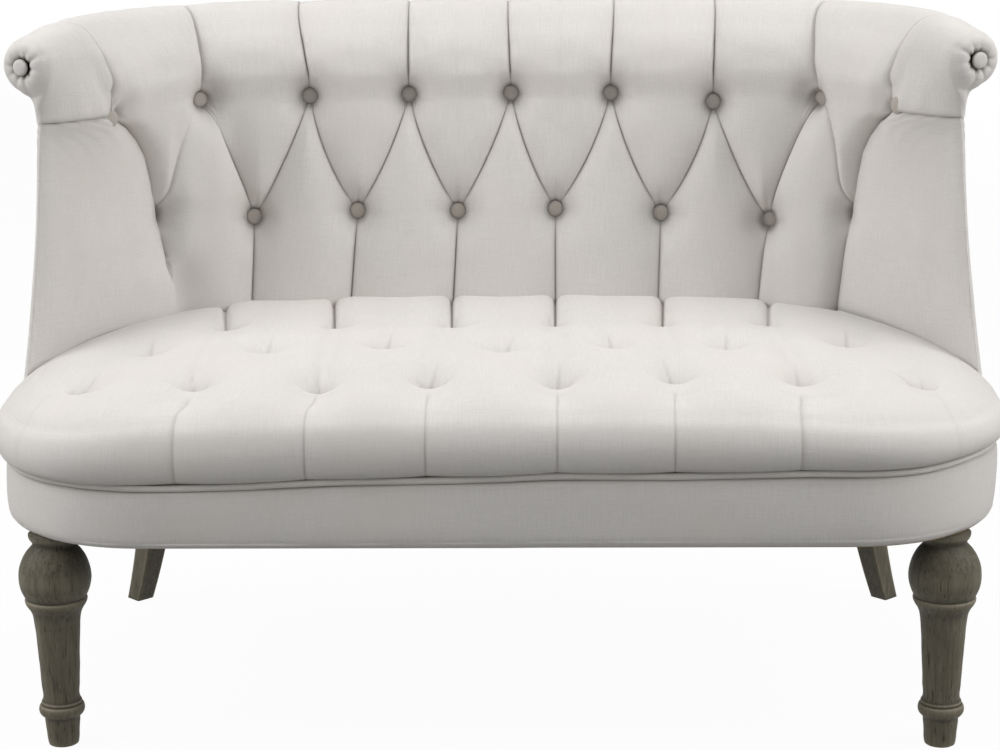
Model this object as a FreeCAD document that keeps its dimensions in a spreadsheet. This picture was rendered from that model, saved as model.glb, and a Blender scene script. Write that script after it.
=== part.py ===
import FreeCAD, Part
import Sketcher
import math
import os

# A two-seat tub settee in plain linen: a hardwood seat frame on turned front
# legs and sabre back legs, a webbed and tufted seat, a deep-buttoned curved
# back, smooth wing facings and a padded roll along the top.
# Frame: X across (viewer's right +), Y to the rear, Z up from the floor.
# The origin is on the floor under the middle of the whole settee.

SIZES = {
    "overall_height": 824.0,
    "overall_depth": 650.0,
    "fit_gap": 0.3,
    "seat_width": 1166.0,
    "front_corner_radius": 183.0,
    "rear_corner_radius": 160.0,
    "rear_overhang": 38.0,
    "leg_height": 258.0,
    "rail_height": 82.0,
    "rail_thickness": 30.0,
    "border_thickness": 10.0,
    "piping_radius": 4.4,
    "webbing_thickness": 1.6,
    "webbing_width": 50.0,
    "webbing_lap": 15.0,
    "webbing_front_setback": 90.0,
    "webbing_rear_setback": 87.0,
    "webbing_corner_cut": 50.0,
    "deck_cloth_inset": 4.0,
    "cambric_inset": 8.0,
    "cambric_clearance": 1.0,
    "foot_chamfer": 3.0,
    "cove_depth": 3.0,
    "cove_height": 5.0,
    "cloth_thickness": 1.2,
    "cover_thickness": 8.0,
    "stretcher_width": 40.0,
    "stretcher_drop": 18.0,
    "front_leg_inset": 71.0,
    "front_leg_setback": 73.0,
    "foot_radius": 18.0,
    "foot_top_radius": 20.2,
    "foot_height": 35.0,
    "ring_radius": 26.5,
    "ring_height": 20.0,
    "shaft_foot_radius": 21.0,
    "shaft_top_radius": 27.2,
    "shaft_top_height": 156.0,
    "collar_radius": 36.0,
    "collar_height": 173.0,
    "collar_lip": 6.0,
    "groove_radius": 33.0,
    "ball_radius": 41.7,
    "ball_height": 205.0,
    "waist_radius": 23.5,
    "waist_height": 236.0,
    "cap_radius": 28.0,
    "cap_thickness": 9.0,
    "bolt_radius": 4.0,
    "bolt_depth": 45.0,
    "bolt_rise": 40.0,
    "sabre_foot_width": 26.0,
    "sabre_top_width": 41.0,
    "sabre_top_inset": 116.0,
    "sabre_top_setback": 37.0,
    "sabre_sweep": 45.0,
    "block_leg": 92.0,
    "block_height": 60.0,
    "seat_crown": 443.0,
    "seat_rear_rise": 11.0,
    "cushion_swell": 12.0,
    "cushion_side_fall": 14.0,
    "cushion_edge_round": 42.0,
    "cushion_side_height": 82.0,
    "cushion_wall_drop": 3.0,
    "cushion_clearance": 0.7,
    "outer_tuft_inset": 84.0,
    "front_tuft_depth": 27.0,
    "rear_tuft_depth": 17.0,
    "tuft_spread": 27.0,
    "channel_depth": 6.0,
    "tub_radius": 190.0,
    "tub_inset": 109.0,
    "neck_drop": 53.0,
    "row1_drop": 22.0,
    "row2_share": 0.4385,
    "pad_start_rise": 3.0,
    "seat_level_rise": 7.0,
    "back_pitch_count": 4.446,
    "seat_pitch_count": 8.605,
    "tuft_start_share": 0.1723,
    "tuft_gap_share": 0.1892,
    "wing_bottom_share": 0.369,
    "wing_top_share": 0.577,
    "roll_end_inset": 23.0,
    "roll_end_share": 0.595,
    "post_share": 1.49,
    "back_rake": 0.246,
    "pad_depth": 24.0,
    "crease_depth": 9.0,
    "pad_foot_rise": 20.0,
    "foam_depth": 24.0,
    "crease_top_angle": 90.0,
    "crease_middle_angle": 53.0,
    "crease_seat_angle": 46.0,
    "button_radius": 12.5,
    "button_thickness": 8.0,
    "wing_top_inset": 36.0,
    "facing_thickness": 8.0,
    "facing_crown": 9.0,
    "wing_nose": 26.0,
    "wing_nose_round": 6.0,
    "panel_clearance": 10.0,
    "roll_radius": 43.0,
    "roll_offset": 54.0,
    "roll_end_radius": 36.0,
    "roll_end_drop": 6.0,
    "roll_end_crown": 14.0,
    "roll_foot_setback": 0.6,
    "roll_end_foot_setback": 16.0,
    "roll_end_foot_width": 14.0,
    "roll_button_radius": 10.0,
    "top_rail_height": 56.0,
    "top_rail_thickness": 22.0,
    "post_width": 46.0,
    "lower_rail_height": 60.0,
    "lower_rail_rise": 12.0,
    "arm_post_width": 20.0,
    "arm_post_depth": 36.0,
}

# Sizes that follow from the ones above
DERIVED = {
    "back_flat_half": "seat_width / 2 - tub_radius - tub_inset",
    "back_pitch": "(back_flat_half + tub_radius * pi / 2) / back_pitch_count",
    "neck_height": "overall_height - roll_radius - neck_drop",
    "row1_height": "neck_height - row1_drop",
    "pad_start_height": "seat_crown + pad_start_rise",
    "seat_level": "seat_crown + seat_level_rise",
    "row2_height": "pad_start_height + (row1_height - pad_start_height) * row2_share",
    "seat_pitch": "seat_width / seat_pitch_count",
    "front_tuft_setback": "overall_depth * tuft_start_share",
    "tuft_row_gap": "overall_depth * tuft_gap_share",
    "roll_end_half_width": "seat_width / 2 - roll_end_inset",
    "post_spread": "back_pitch * post_share",
}


class Size:
    """A length that is both a number and the formula that drives the model."""

    def __init__(self, value, formula):
        self.value = float(value)
        self.formula = formula

    def __add__(self, other):
        other = size(other)
        return Size(self.value + other.value, f"({self.formula} + {other.formula})")

    def __sub__(self, other):
        other = size(other)
        return Size(self.value - other.value, f"({self.formula} - {other.formula})")

    def __mul__(self, other):
        other = size(other)
        return Size(self.value * other.value, f"({self.formula} * {other.formula})")

    def __truediv__(self, other):
        other = size(other)
        return Size(self.value / other.value, f"({self.formula} / {other.formula})")

    def __neg__(self):
        return Size(-self.value, f"(0 - {self.formula})")

    def __radd__(self, other):
        return size(other) + self

    def __rsub__(self, other):
        return size(other) - self

    def __rmul__(self, other):
        return size(other) * self


def size(value):
    """A Size from a plain number, or the Size itself."""
    if isinstance(value, Size):
        return value
    return Size(value, f"({float(value)})")


doc = FreeCAD.newDocument("Settee")
sheet = doc.addObject("Spreadsheet::Sheet", "Sizes")
for row, (alias, number) in enumerate(SIZES.items(), start=1):
    sheet.set(f"A{row}", alias)
    sheet.set(f"B{row}", str(number))
    sheet.setAlias(f"B{row}", alias)
for row, (alias, formula) in enumerate(DERIVED.items(), start=len(SIZES) + 2):
    sheet.set(f"A{row}", alias)
    sheet.set(f"B{row}", f"={formula}")
    sheet.setAlias(f"B{row}", alias)
doc.recompute()

subparts = []


def dim(alias):
    """The driving size of that name, with its formula."""
    return Size(float(sheet.get(alias)), f"Sizes.{alias}")


def mm(alias):
    """The driving size of that name as a plain number."""
    return float(sheet.get(alias))


def bind(item, property_name, length):
    """Drive one property of an object by a formula of the sizes."""
    item.setExpression(property_name, size(length).formula)


def place(item, x=0.0, y=0.0, z=0.0):
    """Drive the position of an object by formulas of the sizes."""
    bind(item, "Placement.Base.x", x)
    bind(item, "Placement.Base.y", y)
    bind(item, "Placement.Base.z", z)


def keep(item, node):
    """Name a finished piece after its node and list it for writing."""
    item.Label = node
    subparts.append(item)
    return item


def origin_plane(body, role):
    """The body's own origin plane of that role."""
    return next(item for item in body.Origin.OriginFeatures if item.Role == role)


def arc_middle(start, end, radius):
    """The centre and direction of the minor arc; a positive radius turns left."""
    chord_x = end[0] - start[0]
    chord_y = end[1] - start[1]
    chord = math.hypot(chord_x, chord_y)
    reach = math.sqrt(max(radius * radius - chord * chord / 4.0, 0.0))
    side = 1.0 if radius > 0 else -1.0
    centre_x = (start[0] + end[0]) / 2.0 - side * reach * chord_y / chord
    centre_y = (start[1] + end[1]) / 2.0 + side * reach * chord_x / chord
    return FreeCAD.Vector(centre_x, centre_y, 0.0)


def sketch_on(body, name, role, offset=None):
    """A new sketch on one of the body's origin planes, moved along its normal."""
    sketch = body.newObject("Sketcher::SketchObject", name)
    sketch.AttachmentSupport = [(origin_plane(body, role), "")]
    sketch.MapMode = "FlatFace"
    if offset is not None:
        bind(sketch, "AttachmentOffset.Base.z", offset)
    return sketch


def draw_loop(sketch, corners):
    """Draw a closed loop; each corner is (x, y, radius of the arc that leaves it).

    A corner of two values is left by a straight line. Every corner and radius
    is a constraint driven by its formula.
    """
    count = len(corners)
    points = [(size(corner[0]), size(corner[1])) for corner in corners]
    flat = [(x.value, y.value) for x, y in points]
    first = sketch.GeometryCount
    ends = []
    for index in range(count):
        start = flat[index]
        end = flat[(index + 1) % count]
        start_vector = FreeCAD.Vector(start[0], start[1], 0.0)
        end_vector = FreeCAD.Vector(end[0], end[1], 0.0)
        if len(corners[index]) == 2:
            sketch.addGeometry(Part.LineSegment(start_vector, end_vector))
            ends.append((1, 2))
            continue
        radius = size(corners[index][2]).value
        centre = arc_middle(start, end, radius)
        start_angle = math.atan2(start[1] - centre.y, start[0] - centre.x)
        end_angle = math.atan2(end[1] - centre.y, end[0] - centre.x)
        circle = Part.Circle(centre, FreeCAD.Vector(0, 0, 1), abs(radius))
        if radius > 0:
            sketch.addGeometry(Part.ArcOfCircle(circle, start_angle, end_angle))
            ends.append((1, 2))
        else:
            sketch.addGeometry(Part.ArcOfCircle(circle, end_angle, start_angle))
            ends.append((2, 1))
    for index in range(count):
        following = (index + 1) % count
        sketch.addConstraint(Sketcher.Constraint(
            "Coincident", first + index, ends[index][1], first + following, ends[following][0]))
    for index in range(count):
        x, y = points[index]
        for kind, length in (("DistanceX", x), ("DistanceY", y)):
            number = sketch.addConstraint(Sketcher.Constraint(
                kind, -1, 1, first + index, ends[index][0], length.value))
            sketch.setExpression(f"Constraints[{number}]", length.formula)
        if len(corners[index]) == 3:
            radius = size(corners[index][2])
            turned = radius if radius.value > 0 else -radius
            number = sketch.addConstraint(Sketcher.Constraint(
                "Radius", first + index, turned.value))
            sketch.setExpression(f"Constraints[{number}]", turned.formula)
    return sketch


def new_body(name):
    """An empty body."""
    return doc.addObject("PartDesign::Body", name)


def pad_of(body, sketch, length):
    """Pad a sketch upward by a driven length."""
    pad = body.newObject("PartDesign::Pad", sketch.Name + "_pad")
    pad.Profile = sketch
    bind(pad, "Length", length)
    return pad


def plate(node, corners, bottom, thickness):
    """A flat piece: one closed loop at a height, padded upward."""
    body = new_body(node + "_body")
    sketch = draw_loop(sketch_on(body, node + "_plan", "XY_Plane"), corners)
    pad_of(body, sketch, thickness)
    place(body, 0.0, 0.0, bottom)
    return body


def bore_up(body, name, centres, radius, depth, level=0.0):
    """Round holes that rise into the body from a level of its own."""
    sketch = sketch_on(body, name, "XY_Plane", level)
    for x, y in centres:
        x = size(x)
        y = size(y)
        centre = FreeCAD.Vector(x.value, y.value, 0.0)
        item = sketch.addGeometry(Part.Circle(centre, FreeCAD.Vector(0, 0, 1), radius.value))
        number = sketch.addConstraint(Sketcher.Constraint("Radius", item, radius.value))
        sketch.setExpression(f"Constraints[{number}]", radius.formula)
        for kind, length in (("DistanceX", x), ("DistanceY", y)):
            number = sketch.addConstraint(Sketcher.Constraint(
                kind, -1, 1, item, 3, length.value))
            sketch.setExpression(f"Constraints[{number}]", length.formula)
    pocket = body.newObject("PartDesign::Pocket", name + "_pocket")
    pocket.Profile = sketch
    pocket.Reversed = True
    bind(pocket, "Length", depth)
    return pocket


def group(node, items):
    """Separate solids that share one node."""
    compound = doc.addObject("Part::Compound", node + "_group")
    compound.Links = items
    return keep(compound, node)


def box(name, x, y, z, length, width, height):
    """A plain block by its lowest corner and its sides."""
    block = doc.addObject("Part::Box", name)
    bind(block, "Length", length)
    bind(block, "Width", width)
    bind(block, "Height", height)
    place(block, x, y, z)
    return block


# Places that several pieces share
gap = dim("fit_gap")
half_seat = dim("seat_width") / 2
front_y = dim("cushion_swell") - dim("overall_depth") / 2
rear_y = dim("overall_depth") / 2 - dim("rear_overhang")
rail_base = dim("leg_height")
rail_top = rail_base + dim("rail_height")
front_radius = dim("front_corner_radius")
rear_radius = dim("rear_corner_radius")
front_centre_x = half_seat - front_radius
front_centre_y = front_y + front_radius
rear_centre_x = half_seat - rear_radius
rear_centre_y = rear_y - rear_radius
rail_inset = dim("border_thickness") + gap
rail_inner = rail_inset + dim("rail_thickness")
deck_top = rail_top + dim("webbing_thickness") * 2 + dim("cloth_thickness")
cushion_base = deck_top + gap
roll_y = dim("overall_depth") / 2 - dim("roll_radius")
roll_z = dim("overall_height") - dim("roll_radius")
row1_y = roll_y - dim("roll_offset")
tub_centre_y = row1_y - dim("tub_radius")
wing_bottom_y = front_centre_y + (tub_centre_y - front_centre_y) * dim("wing_bottom_share")
wing_top_y = front_centre_y + (tub_centre_y - front_centre_y) * dim("wing_top_share")
roll_end_y = front_centre_y + (tub_centre_y - front_centre_y) * dim("roll_end_share")
neck = dim("neck_height")
front_leg_x = half_seat - dim("front_leg_inset")
front_leg_y = front_y + dim("front_leg_setback")
sabre_top_x = half_seat - dim("sabre_top_inset")
sabre_top_y = rear_y - dim("sabre_top_setback")


# Turned front legs
BALL_ANGLES = (-34, -6, 20, 46)


def front_leg(node, side):
    """Foot, ring, tapered shaft, coved collar, ball, waist and cap in one turning."""
    body = new_body(node)
    sketch = sketch_on(body, node + "_profile", "XZ_Plane")
    bore = dim("bolt_radius") + gap / 2
    foot = dim("foot_height")
    ring_top = foot + dim("ring_height")
    ring_shoulder = dim("ring_height") * 0.27
    collar = dim("collar_height")
    lip_top = collar + dim("collar_lip")
    cap_base = dim("leg_height") - dim("cap_thickness")
    profile = [
        (0.0, 0.0),
        (dim("foot_radius") - dim("foot_chamfer"), 0.0),
        (dim("foot_radius"), dim("foot_chamfer")),
        (dim("foot_top_radius"), foot),
        (dim("ring_radius"), foot + ring_shoulder),
        (dim("ring_radius"), ring_top - ring_shoulder),
        (dim("shaft_foot_radius"), ring_top),
        (dim("shaft_top_radius"), dim("shaft_top_height")),
        (dim("shaft_top_radius") + dim("cove_depth"), collar - dim("cove_height")),
        (dim("collar_radius"), collar),
        (dim("collar_radius"), lip_top),
    ]
    for degrees in BALL_ANGLES:
        angle = math.radians(degrees)
        profile.append((dim("ball_radius") * math.cos(angle),
                        dim("ball_height") + dim("ball_radius") * math.sin(angle)))
    profile += [
        (dim("waist_radius"), (dim("waist_height") + cap_base) / 2),
        (dim("cap_radius"), cap_base),
        (dim("cap_radius"), dim("leg_height")),
        (bore, dim("leg_height")),
        (bore, dim("leg_height") - dim("bolt_depth")),
        (0.0, dim("leg_height") - dim("bolt_depth")),
    ]
    draw_loop(sketch, profile)
    turning = body.newObject("PartDesign::Revolution", node + "_turning")
    turning.Profile = sketch
    turning.ReferenceAxis = (sketch, ["V_Axis"])
    turning.Angle = 360.0
    place(body, front_leg_x * side, front_leg_y, 0.0)
    return body


group("front_legs", [front_leg("left_turning", -1), front_leg("right_turning", 1)])


# Sabre back legs

def square_corners(x, y, width):
    """A square set on its corner."""
    reach = width * math.sqrt(0.5)
    return [(x + reach, y), (x, y + reach), (x - reach, y), (x, y - reach)]


def back_leg(node, side):
    """A square leg that thins and sweeps out and back towards the floor."""
    body = new_body(node)
    thinning = dim("sabre_top_width") - dim("sabre_foot_width")
    sketches = []
    # Share of the height above the floor, and of the sweep and width left there
    for step, (rise, sweep) in enumerate(((0.0, 1.0), (0.32, 0.52), (0.66, 0.17), (1.0, 0.0))):
        shift = dim("sabre_sweep") * sweep
        width = dim("sabre_foot_width") + thinning * rise
        sketch = sketch_on(body, f"{node}_section_{step}", "XY_Plane", dim("leg_height") * rise)
        draw_loop(sketch, square_corners(shift * side, shift, width))
        sketches.append(sketch)
    loft = body.newObject("PartDesign::AdditiveLoft", node + "_sweep")
    loft.Profile = sketches[0]
    loft.Sections = sketches[1:]
    loft.Ruled = False
    doc.recompute()
    bore_up(body, node + "_bore", [(0.0, 0.0)], dim("bolt_radius") + gap / 2,
            dim("bolt_depth"), dim("leg_height") - dim("bolt_depth"))
    place(body, sabre_top_x * side, sabre_top_y, 0.0)
    return body


group("back_legs", [back_leg("left_sabre", -1), back_leg("right_sabre", 1)])

bolts = []
for x, y, name in ((front_leg_x, front_leg_y, "front"), (sabre_top_x, sabre_top_y, "back")):
    for side in (-1, 1):
        bolt = doc.addObject("Part::Cylinder", f"{name}_bolt_{side + 1}")
        bind(bolt, "Radius", dim("bolt_radius"))
        bind(bolt, "Height", dim("bolt_depth") + dim("bolt_rise") - gap * 2)
        place(bolt, x * side, y, rail_base - dim("bolt_depth") + gap)
        bolts.append(bolt)
group("leg_bolts", bolts)


# Seat frame: a bowed front rail and back rail joined by straight sides

def bow_rail(node, corner_x, corner_y, end_y, radius, face_y, facing, bores):
    """A rail with both corners bent, padded between its outer and inner line."""
    outer = radius - rail_inset
    inner = radius - rail_inner
    outer_x = half_seat - rail_inset
    inner_x = half_seat - rail_inner
    outer_y = face_y + rail_inset * facing
    inner_y = face_y + rail_inner * facing
    corners = [
        (-outer_x, end_y, outer * facing),
        (-corner_x, outer_y),
        (corner_x, outer_y, outer * facing),
        (outer_x, end_y),
        (inner_x, end_y, -(inner * facing)),
        (corner_x, inner_y),
        (-corner_x, inner_y, -(inner * facing)),
        (-inner_x, end_y),
    ]
    body = new_body(node + "_body")
    sketch = draw_loop(sketch_on(body, node + "_plan", "XY_Plane"), corners)
    pad_of(body, sketch, dim("rail_height"))
    doc.recompute()
    bore_up(body, node + "_bores", bores, dim("bolt_radius") + gap / 2, dim("bolt_rise"))
    place(body, 0.0, 0.0, rail_base)
    return keep(body, node)


bow_rail("front_seat_rail", front_centre_x, front_centre_y, front_centre_y, front_radius,
         front_y, 1, [(front_leg_x * side, front_leg_y) for side in (-1, 1)])
bow_rail("back_seat_rail", rear_centre_x, rear_centre_y, rear_centre_y, rear_radius,
         rear_y, -1, [(sabre_top_x * side, sabre_top_y) for side in (-1, 1)])

for side, name in ((-1, "left"), (1, "right")):
    start_x = half_seat - rail_inner if side > 0 else rail_inset - half_seat
    keep(box(f"side_rail_{name}", start_x, front_centre_y, rail_base, dim("rail_thickness"),
             rear_centre_y - front_centre_y, dim("rail_height")), f"side_seat_rail_{name}")

keep(box("stretcher", -(dim("stretcher_width") / 2), front_y + rail_inner, rail_base,
         dim("stretcher_width"), rear_y - front_y - rail_inner * 2,
         dim("rail_height") - dim("stretcher_drop")), "seat_stretcher")


def corner_block(name, side, rail_y, facing):
    """A three-sided brace set into a corner of the seat frame, below the webbing."""
    tip_x = (half_seat - rail_inner) * side
    reach = dim("block_leg")
    return plate(name, [
        (tip_x, rail_y),
        (tip_x, rail_y + reach * facing),
        (tip_x - reach * 0.45 * side, rail_y),
    ], rail_base, dim("block_height"))


blocks = []
for side in (-1, 1):
    blocks.append(corner_block(f"front_block_{side + 1}", side, front_centre_y, 1))
    blocks.append(corner_block(f"back_block_{side + 1}", side, rear_centre_y, -1))
group("corner_blocks", blocks)


# Seat webbing, deck cloth and the cambric under the frame
LONG_STRIPS = 5
CROSS_STRIPS_EACH_SIDE = 3

strips = []
deck_half = half_seat - rail_inset - dim("webbing_lap")
webbing_run = rear_y - front_y - dim("webbing_front_setback") - dim("webbing_rear_setback")
for step in range(LONG_STRIPS):
    y = front_y + dim("webbing_front_setback") + webbing_run * (step / (LONG_STRIPS - 1))
    outermost = step in (0, LONG_STRIPS - 1)
    reach = deck_half - dim("webbing_corner_cut") if outermost else deck_half
    strips.append(box(f"long_strip_{step}", -reach, y - dim("webbing_width") / 2, rail_top,
                      reach * 2, dim("webbing_width"), dim("webbing_thickness")))
group("seat_webbing_long", strips)

strips = []
cross_pitch = front_centre_x * 0.95 / CROSS_STRIPS_EACH_SIDE
for step in range(-CROSS_STRIPS_EACH_SIDE, CROSS_STRIPS_EACH_SIDE + 1):
    strips.append(box(f"cross_strip_{step + 3}", cross_pitch * step - dim("webbing_width") / 2,
                      front_y + rail_inset + dim("webbing_lap"),
                      rail_top + dim("webbing_thickness"), dim("webbing_width"),
                      rear_y - front_y - (rail_inset + dim("webbing_lap")) * 2,
                      dim("webbing_thickness")))
group("seat_webbing_cross", strips)

deck_rear_y = row1_y - (dim("row1_height") - dim("seat_level")) * dim("back_rake") - 8.0
deck_inset = rail_inset + dim("deck_cloth_inset")
keep(plate("deck_cloth", [
    (-(front_centre_x), front_y + deck_inset),
    (front_centre_x, front_y + deck_inset, front_radius - deck_inset),
    (half_seat - deck_inset, front_centre_y),
    (dim("back_flat_half") + dim("tub_radius") * 0.6, deck_rear_y - 60.0),
    (dim("back_flat_half"), deck_rear_y),
    (-(dim("back_flat_half")), deck_rear_y),
    (-(dim("back_flat_half") + dim("tub_radius") * 0.6), deck_rear_y - 60.0),
    (-(half_seat - deck_inset), front_centre_y, front_radius - deck_inset),
], rail_top + dim("webbing_thickness") * 2, dim("cloth_thickness")), "seat_deck_cloth")

cambric_inset = rail_inset + dim("cambric_inset")
cambric = plate("cambric", [
    (-front_centre_x, front_y + cambric_inset),
    (front_centre_x, front_y + cambric_inset, front_radius - cambric_inset),
    (half_seat - cambric_inset, front_centre_y),
    (half_seat - cambric_inset, rear_centre_y, rear_radius - cambric_inset),
    (rear_centre_x, rear_y - cambric_inset),
    (-rear_centre_x, rear_y - cambric_inset, rear_radius - cambric_inset),
    (-(half_seat - cambric_inset), rear_centre_y),
    (-(half_seat - cambric_inset), front_centre_y, front_radius - cambric_inset),
], rail_base - dim("cloth_thickness"), dim("cloth_thickness"))
cuts = []
for x, y, reach, name in ((front_leg_x, front_leg_y, dim("cap_radius"), "front"),
                          (sabre_top_x, sabre_top_y, dim("sabre_top_width") * 0.75, "back")):
    for side in (-1, 1):
        hole = doc.addObject("Part::Cylinder", f"{name}_notch_{side + 1}")
        bind(hole, "Radius", reach + dim("cambric_clearance"))
        bind(hole, "Height", dim("cloth_thickness") * 3)
        place(hole, x * side, y, rail_base - dim("cloth_thickness") * 2)
        cuts.append(hole)
notches = doc.addObject("Part::Compound", "leg_notches")
notches.Links = cuts
dust_cover = doc.addObject("Part::Cut", "cambric_cut")
dust_cover.Base = cambric
dust_cover.Tool = notches
keep(dust_cover, "dust_cover")


# Upholstered border round the front and sides, and the piping above it
border_top = cushion_base - gap * 2 - dim("piping_radius") * 2
border_inset = dim("border_thickness")
border_end_y = wing_bottom_y + dim("wing_nose") - gap
border = plate("border", [
    (-half_seat, border_end_y),
    (-half_seat, front_centre_y, front_radius),
    (-front_centre_x, front_y),
    (front_centre_x, front_y, front_radius),
    (half_seat, front_centre_y),
    (half_seat, border_end_y),
    (half_seat - border_inset, border_end_y),
    (half_seat - border_inset, front_centre_y, -(front_radius - border_inset)),
    (front_centre_x, front_y + border_inset),
    (-front_centre_x, front_y + border_inset, -(front_radius - border_inset)),
    (-(half_seat - border_inset), front_centre_y),
    (-(half_seat - border_inset), border_end_y),
], rail_base + gap, border_top - rail_base - gap)
keep(border, "seat_border")


def piping_route():
    """The line of the piping: one side, round the front and up the other side."""
    inset = mm("piping_radius")
    reach = mm("front_corner_radius") - inset
    height = (cushion_base - gap).value - inset
    end_y = border_end_y.value
    side_x = half_seat.value - inset
    corner_x = front_centre_x.value
    corner_y = front_centre_y.value
    front = front_y.value + inset
    lean = reach * math.sqrt(0.5)
    points = [FreeCAD.Vector(x, y, height) for x, y in (
        (-side_x, end_y), (-side_x, corner_y), (-corner_x - lean, corner_y - lean),
        (-corner_x, front), (corner_x, front), (corner_x + lean, corner_y - lean),
        (side_x, corner_y), (side_x, end_y))]
    return Part.Wire([
        Part.LineSegment(points[0], points[1]).toShape(),
        Part.Arc(points[1], points[2], points[3]).toShape(),
        Part.LineSegment(points[3], points[4]).toShape(),
        Part.Arc(points[4], points[5], points[6]).toShape(),
        Part.LineSegment(points[6], points[7]).toShape(),
    ])


def soft_piece(node, shape):
    """A soft piece whose solid comes from its own formula."""
    feature = doc.addObject("Part::Feature", node + "_form")
    feature.Shape = shape
    return keep(feature, node)


route = piping_route()
start = route.Vertexes[0].Point
corners = []
for step in range(9):
    angle = math.pi / 4.0 * step
    corners.append(start + FreeCAD.Vector(math.cos(angle), 0.0, math.sin(angle)) * mm("piping_radius"))
corners[-1] = corners[0]
ring = Part.makePolygon(corners)
soft_piece("seat_piping", route.makePipeShell([ring], True, False))


# Lofted forms: every station is a closed ring, and flat faces join each to the next

def middle_of(start, end):
    """The point half-way between two points."""
    return (start + end) * 0.5


def flat_face(*points):
    """A flat face through its corners."""
    return Part.Face(Part.makePolygon(list(points) + [points[0]]))


def joined(first, second, third, fourth):
    """Two flat faces that fill a four-sided gap, split along its shorter diagonal."""
    if (third - first).Length <= (fourth - second).Length:
        return [flat_face(first, second, third), flat_face(first, third, fourth)]
    return [flat_face(second, third, fourth), flat_face(second, fourth, first)]


def lofted(stations, rungs=0):
    """One solid lofted through rings of straight lines.

    An end that is not flat states its rungs: the ring then has that many lines
    up its face and as many down its rear, and strips between them close it.
    """
    count = len(stations[0])
    faces = []
    for near, far in zip(stations, stations[1:]):
        for index in range(count):
            after = (index + 1) % count
            faces += joined(near[index], near[after], far[after], far[index])
    for ring in (stations[0], stations[-1]):
        if not rungs:
            faces.append(flat_face(*ring))
        for rung in range(rungs):
            faces += joined(ring[rung], ring[rung + 1], ring[count - 2 - rung],
                            ring[count - 1 - rung])
    skin = Part.makeCompound(faces)
    skin.sewShape()
    solid = Part.Solid(skin.Shells[0])
    if solid.Volume < 0:
        solid.reverse()
    return solid


def blend(low, high, share):
    """A value between two, by a share from 0 to 1."""
    return low + (high - low) * min(max(share, 0.0), 1.0)


def pad_swell(place_across, columns):
    """How far a pad swells between two neighbouring channels: 0 in a channel, 1 between."""
    ordered = sorted(columns)
    for left, right in zip(ordered, ordered[1:]):
        if left <= place_across <= right:
            share = (place_across - left) / (right - left)
            return max(1.0 - (2.0 * share - 1.0) ** 2, 0.0) ** 0.7
    return 1.0


# Tufted seat cushion
SEAT_TOP_STEP = 10


def seat_tufts():
    """Place and depth of every tuft of the seat."""
    pitch = mm("seat_pitch")
    front = front_y.value + mm("front_tuft_setback")
    gap_y = mm("tuft_row_gap")
    outer = half_seat.value - mm("outer_tuft_inset")
    deep = mm("front_tuft_depth")
    shallow = mm("rear_tuft_depth")
    tufts = []
    for side in (-1, 1):
        for step in (0.5, 1.5, 2.5):
            tufts.append((side * step * pitch, front, deep))
            tufts.append((side * step * pitch, front + 2.0 * gap_y, shallow))
        tufts.append((side * outer, front + 11.0, deep))
        for step in (1.0, 2.0, 3.0):
            tufts.append((side * step * pitch, front + gap_y, (deep + shallow) / 2.0))
    tufts.append((0.0, front + gap_y, (deep + shallow) / 2.0))
    return tufts


def seat_height(x, y):
    """Height of the seat's crown with its tufts pulled in."""
    depth_share = (y - front_y.value) / (mm("overall_depth") * 0.7)
    height = mm("seat_crown") + mm("seat_rear_rise") * blend(0.0, 1.0, depth_share)
    height -= mm("cushion_side_fall") * (abs(x) / half_seat.value) ** 4
    for tuft_x, tuft_y, depth in seat_tufts():
        away = math.hypot(x - tuft_x, y - tuft_y) / mm("tuft_spread")
        height -= depth * math.exp(-away * away)
    return height


def tub_front_y(height):
    """Where the button line of the back stands at a height, on the centre line."""
    return row1_y.value - mm("back_rake") * max(mm("row1_height") - max(height, mm("seat_level")), 0.0)


def tub_point(height, along, out, above_row1=False):
    """A point of the tub: distance along its plan from the middle, and out from it."""
    radius = mm("tub_radius")
    flat = mm("back_flat_half")
    base_y = row1_y.value if above_row1 else tub_front_y(height)
    side = 1.0 if along >= 0 else -1.0
    away = abs(along)
    if away <= flat:
        return FreeCAD.Vector(along, base_y + out, height)
    turn = (away - flat) / radius
    x = flat + (radius + out) * math.sin(turn)
    y = base_y - radius + (radius + out) * math.cos(turn)
    return FreeCAD.Vector(side * x, y, height)


def crease_length(height):
    """Distance along the tub from the middle to the crease beside the wing facing."""
    levels = ((mm("seat_level"), "crease_seat_angle"), (mm("row2_height"), "crease_middle_angle"),
              (mm("row1_height"), "crease_top_angle"))
    angle = mm("crease_top_angle")
    if height <= levels[0][0]:
        angle = mm("crease_seat_angle")
    else:
        for (low, low_name), (high, high_name) in zip(levels, levels[1:]):
            if low <= height <= high:
                angle = blend(mm(low_name), mm(high_name), (height - low) / (high - low))
    return mm("back_flat_half") + mm("tub_radius") * math.radians(angle)


WING_EDGE_INSET = 2.0


def wing_edge(height):
    """Front edge of the wing at a height."""
    share = (height - cushion_base.value) / (mm("row1_height") - cushion_base.value)
    x = half_seat.value - WING_EDGE_INSET - mm("wing_top_inset") * share
    y = wing_bottom_y.value + (wing_top_y.value - wing_bottom_y.value) * share
    return FreeCAD.Vector(x, y, height)


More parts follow.
